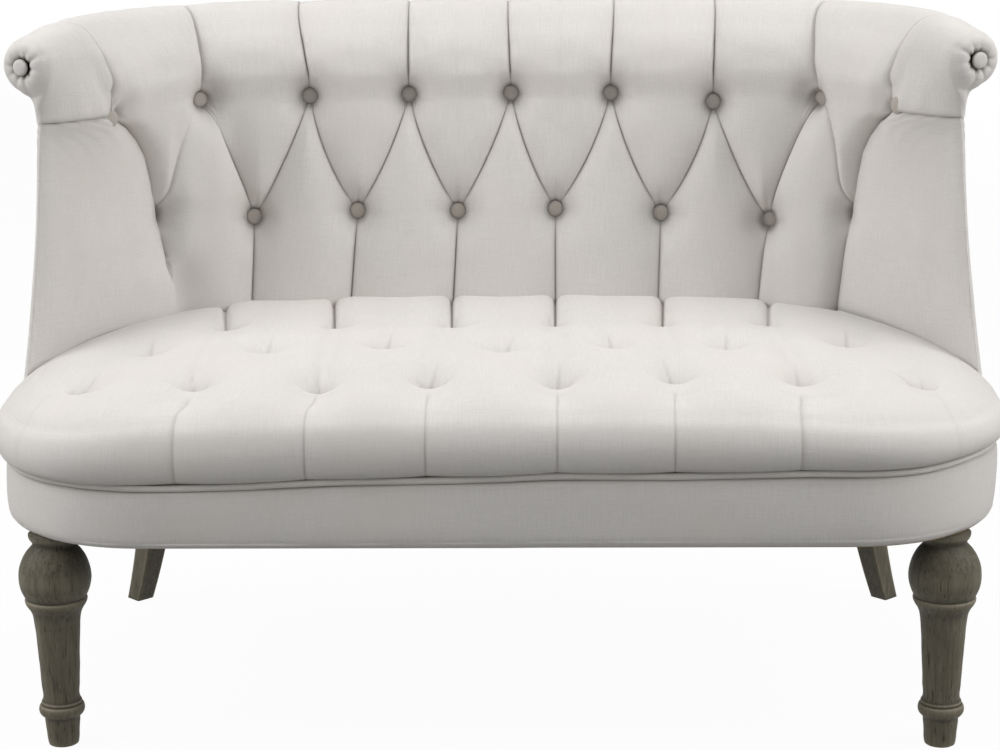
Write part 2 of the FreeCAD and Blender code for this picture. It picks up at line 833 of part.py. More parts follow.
def outline_point(travel):
    """A point of the seat's plan by its distance from the front middle."""
    straight = front_centre_x.value
    radius = mm("front_corner_radius")
    bend = radius * math.pi / 2.0
    side = 1.0 if travel >= 0 else -1.0
    away = abs(travel)
    if away <= straight:
        return FreeCAD.Vector(travel, front_y.value, 0.0)
    if away <= straight + bend:
        turn = (away - straight) / radius
        return FreeCAD.Vector(side * (straight + radius * math.sin(turn)),
                              front_centre_y.value - radius * math.cos(turn), 0.0)
    return FreeCAD.Vector(side * half_seat.value,
                          front_centre_y.value + away - straight - bend, 0.0)


def seat_stations():
    """Front and rear end of every station of the seat, fanning round the corners."""
    pitch = mm("seat_pitch")
    clear = mm("cushion_clearance")
    last = 2.5 * pitch
    straight = [last * step / SEAT_TOP_STEP for step in range(-SEAT_TOP_STEP, SEAT_TOP_STEP + 1)]
    base = cushion_base.value
    bend = mm("front_corner_radius") * math.pi / 2.0
    wing = wing_edge(base)
    travel_end = front_centre_x.value + bend + (wing.y - 4.0 - front_centre_y.value)
    crease = crease_length(base)
    fan = []
    for share in (0.08, 0.16, 0.24, 0.32, 0.40, 0.47, 0.56, 0.66, 0.77, 0.88, 1.0):
        fan.append((blend(last, travel_end, share),
                    blend(last, crease - 2.0, 1.0 - (1.0 - share) ** 3.5)))
    pairs = [(x, x) for x in straight]
    pairs = [(-front, -rear) for front, rear in reversed(fan)] + pairs + fan
    return [(outline_point(front), tub_point(base, rear, -clear)) for front, rear in pairs]


def seat_station(front, rear):
    """One closed ring of the seat, from its lower front edge over the top to the rear."""
    base = cushion_base.value
    run = FreeCAD.Vector(rear.x - front.x, rear.y - front.y, 0.0)
    length = run.Length
    run.normalize()
    pitch = mm("seat_pitch")
    channels = [pitch * step for step in (-3.7, -2.5, -1.5, -0.5, 0.5, 1.5, 2.5, 3.7)]
    front_swell = pad_swell(front.x, channels)
    draw = mm("channel_depth") * (1.0 - front_swell)
    swell = mm("cushion_swell") - 0.6 * draw
    side_height = mm("cushion_side_height")
    rear_round = 7.0

    def spot(distance, height):
        return FreeCAD.Vector(front.x + run.x * distance, front.y + run.y * distance, height)

    edge_round = mm("cushion_edge_round")

    def top(share):
        at = spot(edge_round + (length - edge_round - rear_round) * share, 0.0)
        rear_draw = draw * 1.6 * max((share - 0.80) / 0.2, 0.0)
        return FreeCAD.Vector(at.x, at.y, seat_height(at.x, at.y) - rear_draw)

    crown = spot(edge_round, 0.0)
    crown.z = seat_height(crown.x, crown.y) - 0.5 * draw
    shares = (0.055, 0.11, 0.163, 0.22, 0.30, 0.38, 0.45, 0.52, 0.60, 0.67, 0.737, 0.80, 0.88,
              0.945)
    points = [
        spot(0.0, base), spot(-0.80 * swell, base + 0.24 * side_height),
        spot(-swell, base + 0.52 * side_height), spot(-0.83 * swell, base + 0.80 * side_height),
        spot(0.12 * edge_round + draw, base + side_height),
        spot(0.40 * edge_round + draw, crown.z - 0.3 * (crown.z - base - side_height)), crown,
    ]
    points.extend(top(share) for share in shares)
    brow = points[-1]
    wall_top = spot(length, mm("pad_start_height") - mm("cushion_wall_drop"))
    points.append(spot(length - rear_round, blend(wall_top.z, brow.z, 0.72)))
    points.append(wall_top)
    return points + [spot(length, base)]


soft_piece("seat_cushion", lofted([seat_station(*pair) for pair in seat_stations()]))


# Deep-buttoned inside back, from the seat deck up to the neck of the roll
REAR_OUT = mm("foam_depth")
LEVEL_DECK = cushion_base.value
LOW_COLUMNS = (-3.5, -2.5, -1.5, -0.5, 0.5, 1.5, 2.5, 3.5)
TOP_COLUMNS = (-3.5, -2.784, -2.0, -1.0, 0.0, 1.0, 2.0, 2.784, 3.5)


def column_place(height, column):
    """Distance along the tub of a column, which fans out beyond the last full one."""
    pitch = mm("back_pitch")
    side = 1.0 if column >= 0 else -1.0
    away = abs(column)
    if away <= 2.5:
        return side * away * pitch
    share = away - 2.5
    return side * (2.5 * pitch + share * (crease_length(height) - 2.5 * pitch))


def crease_height(column):
    """Height of the diamond crease at a column, and its place between two buttons."""
    low = mm("row2_height")
    high = mm("row1_height")
    away = abs(column)
    knots = ((0.0, high), (0.5, low), (1.0, high), (1.5, low), (2.0, high), (2.5, low),
             (2.784, high), (3.5, low))
    for (left, left_height), (right, right_height) in zip(knots, knots[1:]):
        if left <= away <= right:
            share = (away - left) / (right - left)
            return left_height + (right_height - left_height) * share, share
    return low, 1.0


def back_columns():
    """Columns of the stations of the inside back, from one crease to the other."""
    steps = [step / 6.0 for step in range(0, 15)] + [2.5, 2.6, 2.7, 2.784, 2.9, 3.05, 3.25, 3.5]
    return [-step for step in reversed(steps[1:])] + steps


def back_station(column):
    """One closed ring of the inside back: up its face, over the neck and down the rear."""
    start = mm("pad_start_height")
    neck_z = neck.value
    low_swell = pad_swell(column, LOW_COLUMNS) * mm("pad_depth")
    top_swell = pad_swell(column, TOP_COLUMNS) * mm("pad_depth")
    fold, share = crease_height(column)
    fold_out = -mm("crease_depth") * (1.0 - (2.0 * share - 1.0) ** 2)
    rise = neck_z - fold

    def face(height, out):
        return tub_point(height, column_place(height, column), out)

    def rear(height):
        return tub_point(height, column_place(height, column), REAR_OUT, True)

    belly = blend(start, mm("row2_height"), 0.49)
    points = [
        face(LEVEL_DECK, 0.0), face(start, 0.0), face(start + mm("pad_foot_rise"), -0.66 * low_swell),
        face(belly, -low_swell), face(blend(belly, fold, 0.3), blend(-low_swell, fold_out, 0.04)),
        face(blend(belly, fold, 0.6), blend(-low_swell, fold_out, 0.22)),
        face(blend(belly, fold, 0.86), blend(-low_swell, fold_out, 0.62)),
        face(fold, fold_out), face(fold + 0.12 * rise, blend(fold_out, -top_swell, 0.52)),
        face(fold + 0.3 * rise, blend(fold_out, -top_swell, 0.86)),
        face(fold + 0.58 * rise, -top_swell), face(fold + 0.8 * rise, -0.93 * top_swell),
        face(neck_z - gap.value, 1.5 - 0.75 * top_swell),
    ]
    return points + [rear(point.z) for point in reversed(points)]


def back_buttons_at():
    """Place and outward direction of every button of the back."""
    places = []
    for height, columns in ((mm("row1_height"), TOP_COLUMNS), (mm("row2_height"), LOW_COLUMNS)):
        for column in columns:
            along = column_place(height, column)
            root = tub_point(height, along, 0.0)
            out = tub_point(height, along, 1.0) - root
            if abs(column) == 3.5:
                out = out + FreeCAD.Vector(0.0, 1.0, 0.0) * (0.8 if height > 600.0 else 0.2)
            out.normalize()
            places.append((root, out))
    return places


BUTTON_SIDES = 12


def stacked(root, out, levels):
    """A solid of stacked regular rings, each a distance behind the root and a radius."""
    turn = FreeCAD.Rotation(FreeCAD.Vector(0.0, 0.0, 1.0), out * -1.0)
    rings = []
    for distance, radius in levels:
        angles = [2.0 * math.pi * step / BUTTON_SIDES for step in range(BUTTON_SIDES)]
        rings.append([root + turn.multVec(FreeCAD.Vector(
            radius * math.cos(angle), radius * math.sin(angle), distance)) for angle in angles])
    return lofted(rings)


def wells(places, radius):
    """Wells in front of the buttons, to be taken out of the padding."""
    depth = mm("pad_depth") * 2.5
    return Part.makeCompound([
        stacked(root, out, [(0.0, radius), (depth, radius)]) for root, out in places])


def button_solid(root, out, radius, thickness):
    """A covered button: a short drum with a crowned face."""
    return stacked(root, out, [(gap.value, radius), (0.3 * thickness, radius),
                               (0.78 * thickness, 0.72 * radius), (thickness, 0.24 * radius)])


button_places = back_buttons_at()
button_wells = wells(button_places, mm("button_radius") + gap.value * 2.0)
back_form = lofted([back_station(column) for column in back_columns()], 12)
soft_piece("inside_back", back_form.cut(button_wells))
soft_piece("back_buttons", Part.makeCompound([
    button_solid(root, out, mm("button_radius"), mm("button_thickness"))
    for root, out in button_places]))


# Smooth facings of the wings

def mirrored(point, side):
    """The same point on the left or the right."""
    return FreeCAD.Vector(point.x * side, point.y, point.z)


def facing_ring(height, side):
    """Plan of a wing facing at a height, from the crease round the nose and back."""
    along = crease_length(height)
    crease = tub_point(height, along, 0.0)
    deep = (tub_point(height, along, REAR_OUT, True) - crease)
    deep.normalize()
    edge = wing_edge(height)
    run = FreeCAD.Vector(edge.x - crease.x, edge.y - crease.y, 0.0)
    run.normalize()
    behind = FreeCAD.Vector(-run.y, run.x, 0.0)
    start = crease + run * (gap.value * 5.0)
    back = start + deep * (mm("facing_thickness") / max(deep.dot(behind), 0.3))
    outer = edge + FreeCAD.Vector(WING_EDGE_INSET, mm("wing_nose"), 0.0)
    inner = outer - FreeCAD.Vector(mm("cover_thickness") + gap.value, 0.0, 0.0)
    nose = middle_of(edge, outer) + run * mm("wing_nose_round")
    crown = mm("facing_crown") * blend(0.0, 1.0, (height - mm("seat_level")) / 110.0)
    ring = [start]
    for share in (0.2, 0.4, 0.6, 0.8):
        bow = crown * (1.0 - (2.0 * share - 1.0) ** 2)
        ring.append(start + (edge - start) * share - behind * bow)
    ring += [edge, nose, outer, inner, back]
    return [mirrored(point, side) for point in ring]


facing_levels = [LEVEL_DECK] + [blend(mm("seat_level"), mm("row2_height"), share)
                                for share in (0.0, 0.5, 1.0)]
facing_levels += [blend(mm("row2_height"), mm("row1_height"), share) for share in (0.34, 0.68, 1.0)]
facing_levels.append(neck.value - gap.value)
for side, name in ((-1, "left"), (1, "right")):
    facing = lofted([facing_ring(height, side) for height in facing_levels])
    soft_piece(f"wing_facing_{name}", facing.cut(button_wells))


# Outside cover of the wings and the back, in one panel under the roll
PANEL_BEND_STEPS = 8
panel_top = roll_z.value - mm("roll_radius") - 1.6


def panel_half(height, inset):
    """Right half of the panel's plan: its nose and the points of its bend."""
    nose = wing_edge(max(height, LEVEL_DECK)) + FreeCAD.Vector(WING_EDGE_INSET - inset, mm("wing_nose"), 0.0)
    nose.y += gap.value
    nose.z = height
    if height <= LEVEL_DECK:
        radius = mm("rear_corner_radius") - inset
        centre = FreeCAD.Vector(rear_centre_x.value, rear_centre_y.value, height)
    else:
        radius = mm("tub_radius") + mm("roll_offset") + mm("panel_clearance") - inset
        centre = FreeCAD.Vector(mm("back_flat_half"), tub_centre_y.value, height)
    points = [nose]
    for step in range(PANEL_BEND_STEPS + 1):
        angle = math.pi / 2.0 * step / PANEL_BEND_STEPS
        points.append(centre + FreeCAD.Vector(radius * math.cos(angle), radius * math.sin(angle), 0.0))
    return points


def panel_ring(height):
    """Closed plan of the outside panel at a height."""
    outer = panel_half(height, 0.0)
    inner = panel_half(height, mm("cover_thickness"))
    corners = outer + [mirrored(point, -1) for point in reversed(outer)]
    corners += [mirrored(point, -1) for point in inner] + list(reversed(inner))
    return corners


soft_piece("outside_panel", lofted([
    panel_ring(height) for height in (rail_base.value + gap.value, LEVEL_DECK, panel_top)]))


# Padded roll along the top, flaring out over the wings
ROLL_STEPS = 4
ROLL_BACK_ANGLES = (67.5, 45.0, 22.5, 0.0, -22.5, -45.0, -67.5)


def roll_section(centre, out, radius, feet, swell, blend_end):
    """One closed ring of the roll about its centre.

    feet are the inner and outer distances of its neck from the centre, swell is
    how far the padding stands forward, blend_end goes to 1 at the wing's end.
    """
    inner_foot, outer_foot = feet
    neck_z = neck.value

    def spot(across, height):
        at = centre + out * across
        return FreeCAD.Vector(at.x, at.y, height)

    high = centre.z
    draw = 1.0 - swell
    front_low = blend(inner_foot + 6.0 + 4.0 * draw, -radius * 1.02, blend_end)
    front_mid = blend(-radius * 1.05 + 7.0 * draw, -radius * 0.94, blend_end)
    belly_z = blend(neck_z + 0.42 * (high - neck_z) + 18.0, high - 4.0, blend_end)
    points = [
        spot(inner_foot, neck_z),
        spot(blend(inner_foot, front_low, 0.55), blend(neck_z, belly_z, 0.42)),
        spot(front_low, belly_z),
        spot(front_mid, high + radius * 0.32),
        spot(-radius * 0.80 + 3.0 * draw, high + radius * 0.60 - 1.0 * draw),
        spot(-radius * 0.46 + 1.0 * draw, high + radius * 0.88 - 1.8 * draw),
        spot(0.0, high + radius - 2.0 * draw),
    ]
    for degrees in ROLL_BACK_ANGLES:
        angle = math.radians(degrees)
        points.append(spot(radius * math.cos(angle), high + radius * math.sin(angle)))
    points += [spot(outer_foot, high - radius + 0.02), spot(outer_foot, neck_z)]
    return points


def roll_stations():
    """Rings of the roll from the middle of the back to the end of one wing."""
    height = neck.value
    full = mm("roll_radius")
    pitch = mm("back_pitch")
    corner = crease_length(mm("row1_height"))
    flat = mm("back_flat_half")
    stations = []
    columns = [step / ROLL_STEPS for step in range(0, int(2.5 * ROLL_STEPS) + 1)]
    columns += [2.6, 2.7, 2.784, 2.9, 3.05, 3.25, 3.5]
    end_centre = FreeCAD.Vector(mm("roll_end_half_width"), roll_end_y.value, 0.0)
    end_high = roll_z.value - mm("roll_end_drop")
    for column in columns:
        along = column_place(mm("row1_height"), column)
        foot = tub_point(height, along, 0.0, True)
        centre = tub_point(height, along, mm("roll_offset"), True)
        drop = blend(0.0, 4.0, (along - flat) / (corner - flat))
        centre.z = roll_z.value - drop * 0.5
        out = centre - foot
        out.z = 0.0
        out.normalize()
        swell = pad_swell(column, TOP_COLUMNS)
        feet = (-mm("roll_offset") + 1.5 - 0.75 * mm("pad_depth") * swell,
                -mm("roll_foot_setback"))
        stations.append(roll_section(centre, out, full - drop * 0.5, feet, swell, 0.0))
    corner_centre = tub_point(height, corner, mm("roll_offset"), True)
    corner_foot = tub_point(height, corner, 0.0, True)
    edge = wing_edge(height)
    axis = end_centre - FreeCAD.Vector(corner_centre.x, corner_centre.y, 0.0)
    axis.normalize()
    end_out = FreeCAD.Vector(-axis.y, axis.x, 0.0)
    for share in (0.2, 0.4, 0.6, 0.8, 1.0):
        centre = FreeCAD.Vector(blend(corner_centre.x, end_centre.x, share),
                                blend(corner_centre.y, end_centre.y, share),
                                blend(roll_z.value - 2.0, end_high, share))
        out = FreeCAD.Vector(blend(1.0, end_out.x, share), blend(0.0, end_out.y, share), 0.0)
        out.normalize()
        foot = FreeCAD.Vector(blend(corner_foot.x, edge.x, share),
                              blend(corner_foot.y, edge.y, share), 0.0)
        inner_foot = (foot - FreeCAD.Vector(centre.x, centre.y, 0.0)).dot(out)
        swell = pad_swell(share, (0.0, 2.0))
        radius = blend(full - 2.0, mm("roll_end_radius"), share)
        outer_foot = blend(-mm("roll_foot_setback"), -mm("roll_end_foot_setback"), share / 0.6)
        inner_foot = min(inner_foot - 6.0 * swell * (1.0 - share),
                         outer_foot - mm("roll_end_foot_width"))
        feet = (inner_foot, outer_foot)
        stations.append(roll_section(centre, out, radius, feet, 0.6, share))
    for reach, share in ((0.64, 0.86), (1.0, 0.42)):
        centre = end_centre + axis * (mm("roll_end_crown") * reach)
        centre.z = end_high
        stations.append(round_section(centre, end_out, mm("roll_end_radius") * share))
    return stations, centre, axis


def round_section(centre, out, radius):
    """A round ring with as many corners as the roll's other rings."""
    points = []
    for degrees in (240, 205, 180, 155, 130, 110, 90) + ROLL_BACK_ANGLES + (-85, -100):
        angle = math.radians(degrees)
        at = centre + out * (radius * math.cos(angle))
        points.append(FreeCAD.Vector(at.x, at.y, centre.z + radius * math.sin(angle)))
    return points


half_roll, roll_tip, roll_axis = roll_stations()
other_half = [[mirrored(point, -1) for point in ring] for ring in reversed(half_roll[1:])]
soft_piece("top_roll", lofted(other_half + half_roll))
tip_buttons = []
for side in (-1, 1):
    tip_buttons.append(button_solid(mirrored(roll_tip, side), mirrored(roll_axis, side) * -1.0,
                                    mm("roll_button_radius"), mm("button_thickness") - 1.0))
soft_piece("roll_end_buttons", Part.makeCompound(tip_buttons))


# Back frame: top rail in three, posts, lower rail and webbing
frame_out = REAR_OUT + gap + dim("webbing_thickness")
rail_front_y = row1_y + frame_out
rail_rear_y = rail_front_y + dim("top_rail_thickness")
flat_half = dim("back_flat_half")
bend_front = dim("tub_radius") + frame_out
bend_rear = bend_front + dim("top_rail_thickness")
top_rail_base = neck - dim("top_rail_height")
keep(box("top_rail_straight", -flat_half, rail_front_y, top_rail_base, flat_half * 2,
         dim("top_rail_thickness"), dim("top_rail_height")), "top_rail_back")
for side, name in ((-1, "left"), (1, "right")):
    bend = plate(f"top_rail_bend_{name}", [
        (flat_half * side, rail_front_y, -(bend_front) * side),
        ((flat_half + bend_front) * side, tub_centre_y),
        ((flat_half + bend_rear) * side, tub_centre_y, bend_rear * side),
        (flat_half * side, rail_rear_y),
    ], top_rail_base, dim("top_rail_height"))
    keep(bend, f"top_rail_{name}")


def rectangle(x, y, width, depth):
    """Corners of a rectangle about its centre."""
    return [(x - width / 2, y - depth / 2), (x + width / 2, y - depth / 2),
            (x + width / 2, y + depth / 2), (x - width / 2, y + depth / 2)]


def leaning_post(node, low, high):
    """A post lofted from its foot on the seat frame to its head under the top rail."""
    body = new_body(node + "_body")
    foot = draw_loop(sketch_on(body, node + "_foot", "XY_Plane", rail_top), low)
    head = draw_loop(sketch_on(body, node + "_head", "XY_Plane", top_rail_base), high)
    loft = body.newObject("PartDesign::AdditiveLoft", node + "_lean")
    loft.Profile = foot
    loft.Sections = [head]
    loft.Ruled = True
    return keep(body, node)


corner_share = math.sqrt(0.5)
corner_out = dim("tub_radius") + frame_out + dim("arm_post_width") / 2 + 1.0
corner_head_x = flat_half + corner_out * corner_share
corner_head_y = tub_centre_y + corner_out * corner_share
corner_foot_x = rear_centre_x + (rear_radius - rail_inset - dim("rail_thickness") / 2) * 0.36
corner_foot_y = rear_centre_y + (rear_radius - rail_inset - dim("rail_thickness") / 2) * 0.93
arm_foot_x = half_seat - rail_inner + dim("rail_thickness") / 2
arm_head_x = flat_half + dim("tub_radius") + dim("roll_offset") - 3.0
arm_y = tub_centre_y + 9.0
for side, name in ((-1, "left"), (1, "right")):
    keep(box(f"back_post_{name}_block", dim("post_spread") * side - dim("post_width") / 2,
             rail_front_y, rail_top, dim("post_width"), dim("top_rail_thickness"),
             top_rail_base - rail_top), f"back_post_{name}")
    leaning_post(f"corner_post_{name}",
                 square_corners(corner_foot_x * side, corner_foot_y, dim("arm_post_width")),
                 square_corners(corner_head_x * side, corner_head_y, dim("arm_post_width")))
    leaning_post(f"wing_post_{name}",
                 rectangle(arm_foot_x * side, arm_y, dim("arm_post_width"), dim("arm_post_depth")),
                 rectangle(arm_head_x * side, arm_y, dim("arm_post_width"), dim("arm_post_depth")))

lower_half = dim("post_spread") - dim("post_width") / 2
strip_base = rail_top + dim("lower_rail_rise")
keep(box("lower_rail", -lower_half, rail_front_y, strip_base, lower_half * 2,
         dim("top_rail_thickness"), dim("lower_rail_height")), "lower_back_rail")

strips = []
for step in (-1.5, -0.5, 0.5, 1.5):
    strips.append(box(f"back_strip_{int(step * 2 + 3)}", lower_half * step * 0.5 - dim("webbing_width") / 2,
                      rail_front_y - dim("webbing_thickness"), strip_base + 2.0,
                      dim("webbing_width"), dim("webbing_thickness"), neck - strip_base - 4.0))
group("back_webbing", strips)


# Check every object and sub-part, then write one file for each sub-part
doc.recompute()
for item in doc.Objects:
    if "Invalid" in item.State or "Error" in item.State:
        raise RuntimeError(f"{item.Name} did not build: {item.State}")
for item in subparts:
    if item.Shape.isNull() or not item.Shape.isValid():
        raise RuntimeError(f"{item.Label} has no valid solid")
os.makedirs("parts", exist_ok=True)
for item in subparts:
    item.Shape.exportStep(f"parts/{item.Label}.step")
    box_of = item.Shape.BoundBox
    print(f"{item.Label}: {len(item.Shape.Solids)} solids, {item.Shape.Volume / 1000.0:.0f} cm3, "
          f"x {box_of.XMin:.1f} {box_of.XMax:.1f} y {box_of.YMin:.1f} {box_of.YMax:.1f} "
          f"z {box_of.ZMin:.1f} {box_of.ZMax:.1f}")
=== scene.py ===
"""A small two-seat settee: deep-buttoned linen back with a rolled top, tufted seat, turned legs."""

import logging
import math
from dataclasses import dataclass, field
from enum import Enum

import bmesh
import bpy
import numpy as np
from mathutils import Matrix, Vector


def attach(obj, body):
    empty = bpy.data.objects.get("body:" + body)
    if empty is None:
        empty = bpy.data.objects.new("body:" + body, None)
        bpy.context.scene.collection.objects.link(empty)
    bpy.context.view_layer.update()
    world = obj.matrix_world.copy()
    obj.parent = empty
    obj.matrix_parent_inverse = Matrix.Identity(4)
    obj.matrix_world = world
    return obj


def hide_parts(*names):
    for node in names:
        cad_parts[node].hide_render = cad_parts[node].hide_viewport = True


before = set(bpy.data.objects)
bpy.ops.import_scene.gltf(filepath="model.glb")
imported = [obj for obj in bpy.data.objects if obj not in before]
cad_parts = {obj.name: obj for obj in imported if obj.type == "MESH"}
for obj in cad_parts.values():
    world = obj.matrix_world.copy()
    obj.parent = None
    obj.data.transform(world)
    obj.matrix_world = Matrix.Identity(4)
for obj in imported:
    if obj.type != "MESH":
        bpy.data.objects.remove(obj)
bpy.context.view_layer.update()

log = logging.getLogger("settee")

Array = np.ndarray
Colour = tuple[float, float, float]


# Shader maths

class Value:
    """One output socket of a shader, which takes arithmetic with numbers and other values."""

    def __init__(self, shader: "Shader", socket: bpy.types.NodeSocket) -> None:
        """Keep the socket and the shader that new nodes go into."""
        self.shader = shader
        self.socket = socket

    def _maths(self, operation: str, first: "Value | float", second: "Value | float") -> "Value":
        """The result of one Math node."""
        return self.shader.node("ShaderNodeMath", {0: first, 1: second}, operation=operation)[0]

    def __add__(self, other: "Value | float") -> "Value":
        """Sum of two values."""
        return self._maths("ADD", self, other)

    def __radd__(self, other: float) -> "Value":
        """Sum with a number on the left."""
        return self._maths("ADD", other, self)

    def __sub__(self, other: "Value | float") -> "Value":
        """Difference of two values."""
        return self._maths("SUBTRACT", self, other)

    def __rsub__(self, other: float) -> "Value":
        """Difference from a number on the left."""
        return self._maths("SUBTRACT", other, self)

    def __mul__(self, other: "Value | float") -> "Value":
        """Product of two values."""
        return self._maths("MULTIPLY", self, other)

    def __rmul__(self, other: float) -> "Value":
        """Product with a number on the left."""
        return self._maths("MULTIPLY", other, self)

    def sine(self) -> "Value":
        """Sine of this value in radians."""
        return self._maths("SINE", self, 0.0)

    def distance(self) -> "Value":
        """This value without its sign."""
        return self._maths("ABSOLUTE", self, 0.0)

    def larger(self, other: "Value | float") -> "Value":
        """The larger of two values."""
        return self._maths("MAXIMUM", self, other)


class Made:
    """A node that has been made, whose outputs are read by name or number."""

    def __init__(self, shader: "Shader", node: bpy.types.Node) -> None:
        """Keep the node and its shader."""
        self.shader = shader
        self.node = node

    def __getitem__(self, key: str | int) -> Value:
        """One output of the node as a value."""
        return Value(self.shader, self.node.outputs[key])


class Shader:
    """A material's or a world's node tree while it is written."""

    def __init__(self, name: str, world: bool = False) -> None:
        """Start an empty material of that name, or an empty world.

        Args:
            name: the finish's name.
            world: whether it lights the room.
        """
        self.material = (bpy.data.worlds if world else bpy.data.materials).new(name)
        self.material.use_nodes = True
        self.tree = self.material.node_tree
        self.tree.nodes.clear()

    def node(self, kind: str, sockets: dict[str | int, object] | None = None, **settings: object) -> Made:
        """Add one node.

        Args:
            kind: the node's type.
            sockets: a value, a colour or a link for each named or numbered input.
            settings: the node's own settings, set first.

        Returns:
            The node, whose outputs can be read.
        """
        node = self.tree.nodes.new(kind)
        for name, setting in settings.items():
            setattr(node, name, setting)
        for key, given in (sockets or {}).items():
            if isinstance(given, Value):
                self.tree.links.new(given.socket, node.inputs[key])
            else:
                node.inputs[key].default_value = given
        return Made(self, node)

    def mix(self, share: Value | float, low: Value | Colour, high: Value | Colour) -> Value:
        """Mix two colours by a share from 0 to 1.

        Args:
            share: how much of the second.
            low: the colour at 0.
            high: the colour at 1.

        Returns:
            The mixed colour.
        """
        low = low if isinstance(low, Value) else (*low, 1.0)
        high = high if isinstance(high, Value) else (*high, 1.0)
        return self.node("ShaderNodeMix", {0: share, 6: low, 7: high}, data_type="RGBA")[2]

    def scaled(self, vector: Value, by: tuple[float, float, float]) -> Value:
        """A vector stretched by three numbers."""
        return self.node("ShaderNodeVectorMath", {0: vector, 1: by}, operation="MULTIPLY")[0]

    def noise(self, at: Value, scale: float | tuple[float, float, float], detail: float = 2.0,
              roughness: float = 0.5, distortion: float = 0.0) -> Value:
        """Noise near 0.5 at a place, with as many features in a metre as scale says."""
        if isinstance(scale, tuple):
            at, scale = self.scaled(at, scale), 1.0
        return self.node("ShaderNodeTexNoise",
            {"Vector": at, "Scale": scale, "Detail": detail, "Roughness": roughness,
            "Distortion": distortion})[0]

    def ramp(self, value: Value, low: float, high: float) -> Value:
        """A value spread so that low becomes 0 and high becomes 1."""
        return self.node("ShaderNodeMapRange", {0: value, 1: low, 2: high})[0]

    def place(self) -> Value:
        """Places in the object's own space."""
        return self.node("ShaderNodeTexCoord")["Object"]

    def attribute(self, name: str) -> Made:
        """A named attribute of the mesh."""
        return self.node("ShaderNodeAttribute", attribute_name=name)

    def separate(self, vector: Value) -> Made:
        """The three parts of a vector."""
        return self.node("ShaderNodeSeparateXYZ", {0: vector})

    def finish(self, sockets: dict[str, object], height: Value | None = None,
               relief: float = 0.0005, strength: float = 1.0) -> bpy.types.Material:
        """Close the tree with a surface.

        Args:
            sockets: values of the surface's own sockets.
            height: a relief from 0 to 1, if the surface has one.
            relief: how deep that relief is, in metres.
            strength: how strongly it shows.

        Returns:
            The finished material.
        """
        if height is not None:
            bump = self.node("ShaderNodeBump", {"Height": height, "Distance": relief, "Strength": strength})
            sockets = {**sockets, "Normal": bump["Normal"]}
        surface = self.node("ShaderNodeBsdfPrincipled", sockets)
        self.node("ShaderNodeOutputMaterial", {"Surface": surface[0]})
        return self.material


def toned(colour: Colour, by: float) -> Colour:
    """A colour made darker or paler."""
    return tuple(min(part * by, 0.95) for part in colour)


# Finishes

@dataclass(frozen=True)
class Linen:
    """Plain woven natural linen with slubs, with painted shade where it is drawn in."""

    name: str = "linen"
    colour: Colour = (0.70, 0.672, 0.640)
    slub: Colour = (0.60, 0.565, 0.52)
    # Colour of the painted shade in creases, pits and seams.
    tuck: Colour = (0.30, 0.275, 0.245)
    threads: float = 950.0
    warm: Colour = (0.70, 0.655, 0.60)
    turned: bool = False

    def material(self) -> bpy.types.Material:
        """Weave, slubs, mottling and painted shade in the folds as one material.

        Returns:
            The finished material.
        """
        shader = Shader(self.name)
        cloth = shader.attribute("cloth")["Vector"]
        painted_shade = shader.attribute("painted_shade")["Fac"]
        if self.turned:
            cloth = shader.node("ShaderNodeVectorRotate", {"Vector": cloth, "Angle": math.radians(45.0)},
                rotation_type="Z_AXIS")[0]
        parts = shader.separate(cloth)
        warp = (parts["X"] * self.threads * math.tau).sine()
        weft = (parts["Y"] * self.threads * math.tau).sine()
        along = shader.noise(cloth, (900.0, 34.0, 1.0), 2.0, 0.6)
        across = shader.noise(cloth, (30.0, 900.0, 1.0), 2.0, 0.6)
        streaks = along * 0.5 + across * 0.5
        slubs = shader.ramp(across, 0.60, 0.78) * 0.6 + shader.ramp(along, 0.64, 0.80) * 0.4
        cloud = shader.noise(cloth, 7.0, 3.0, 0.55)
        speck = shader.noise(cloth, 420.0, 2.0, 0.7)
        tone = shader.ramp(streaks * 0.7 + speck * 0.3, 0.36, 0.64)
        base = shader.mix(tone, toned(self.colour, 0.90), toned(self.colour, 1.07))
        base = shader.mix(shader.ramp(cloud, 0.42, 0.70) * 0.5, base, self.warm)
        base = shader.mix(slubs * 0.55, base, self.slub)
        # Painted shade: the cloth is darkened towards the shade colour in creases, pits, seams and pleats.
        base = shader.mix(painted_shade, base, self.tuck)
        relief = warp * weft * 0.25 + streaks * 0.9 + speck * 0.35
        return shader.finish({"Base Color": base, "Roughness": 0.84 + 0.12 * tone, "Sheen Weight": 0.12,
            "Sheen Roughness": 0.5, "Specular IOR Level": 0.25}, relief, 0.0006, 0.55)


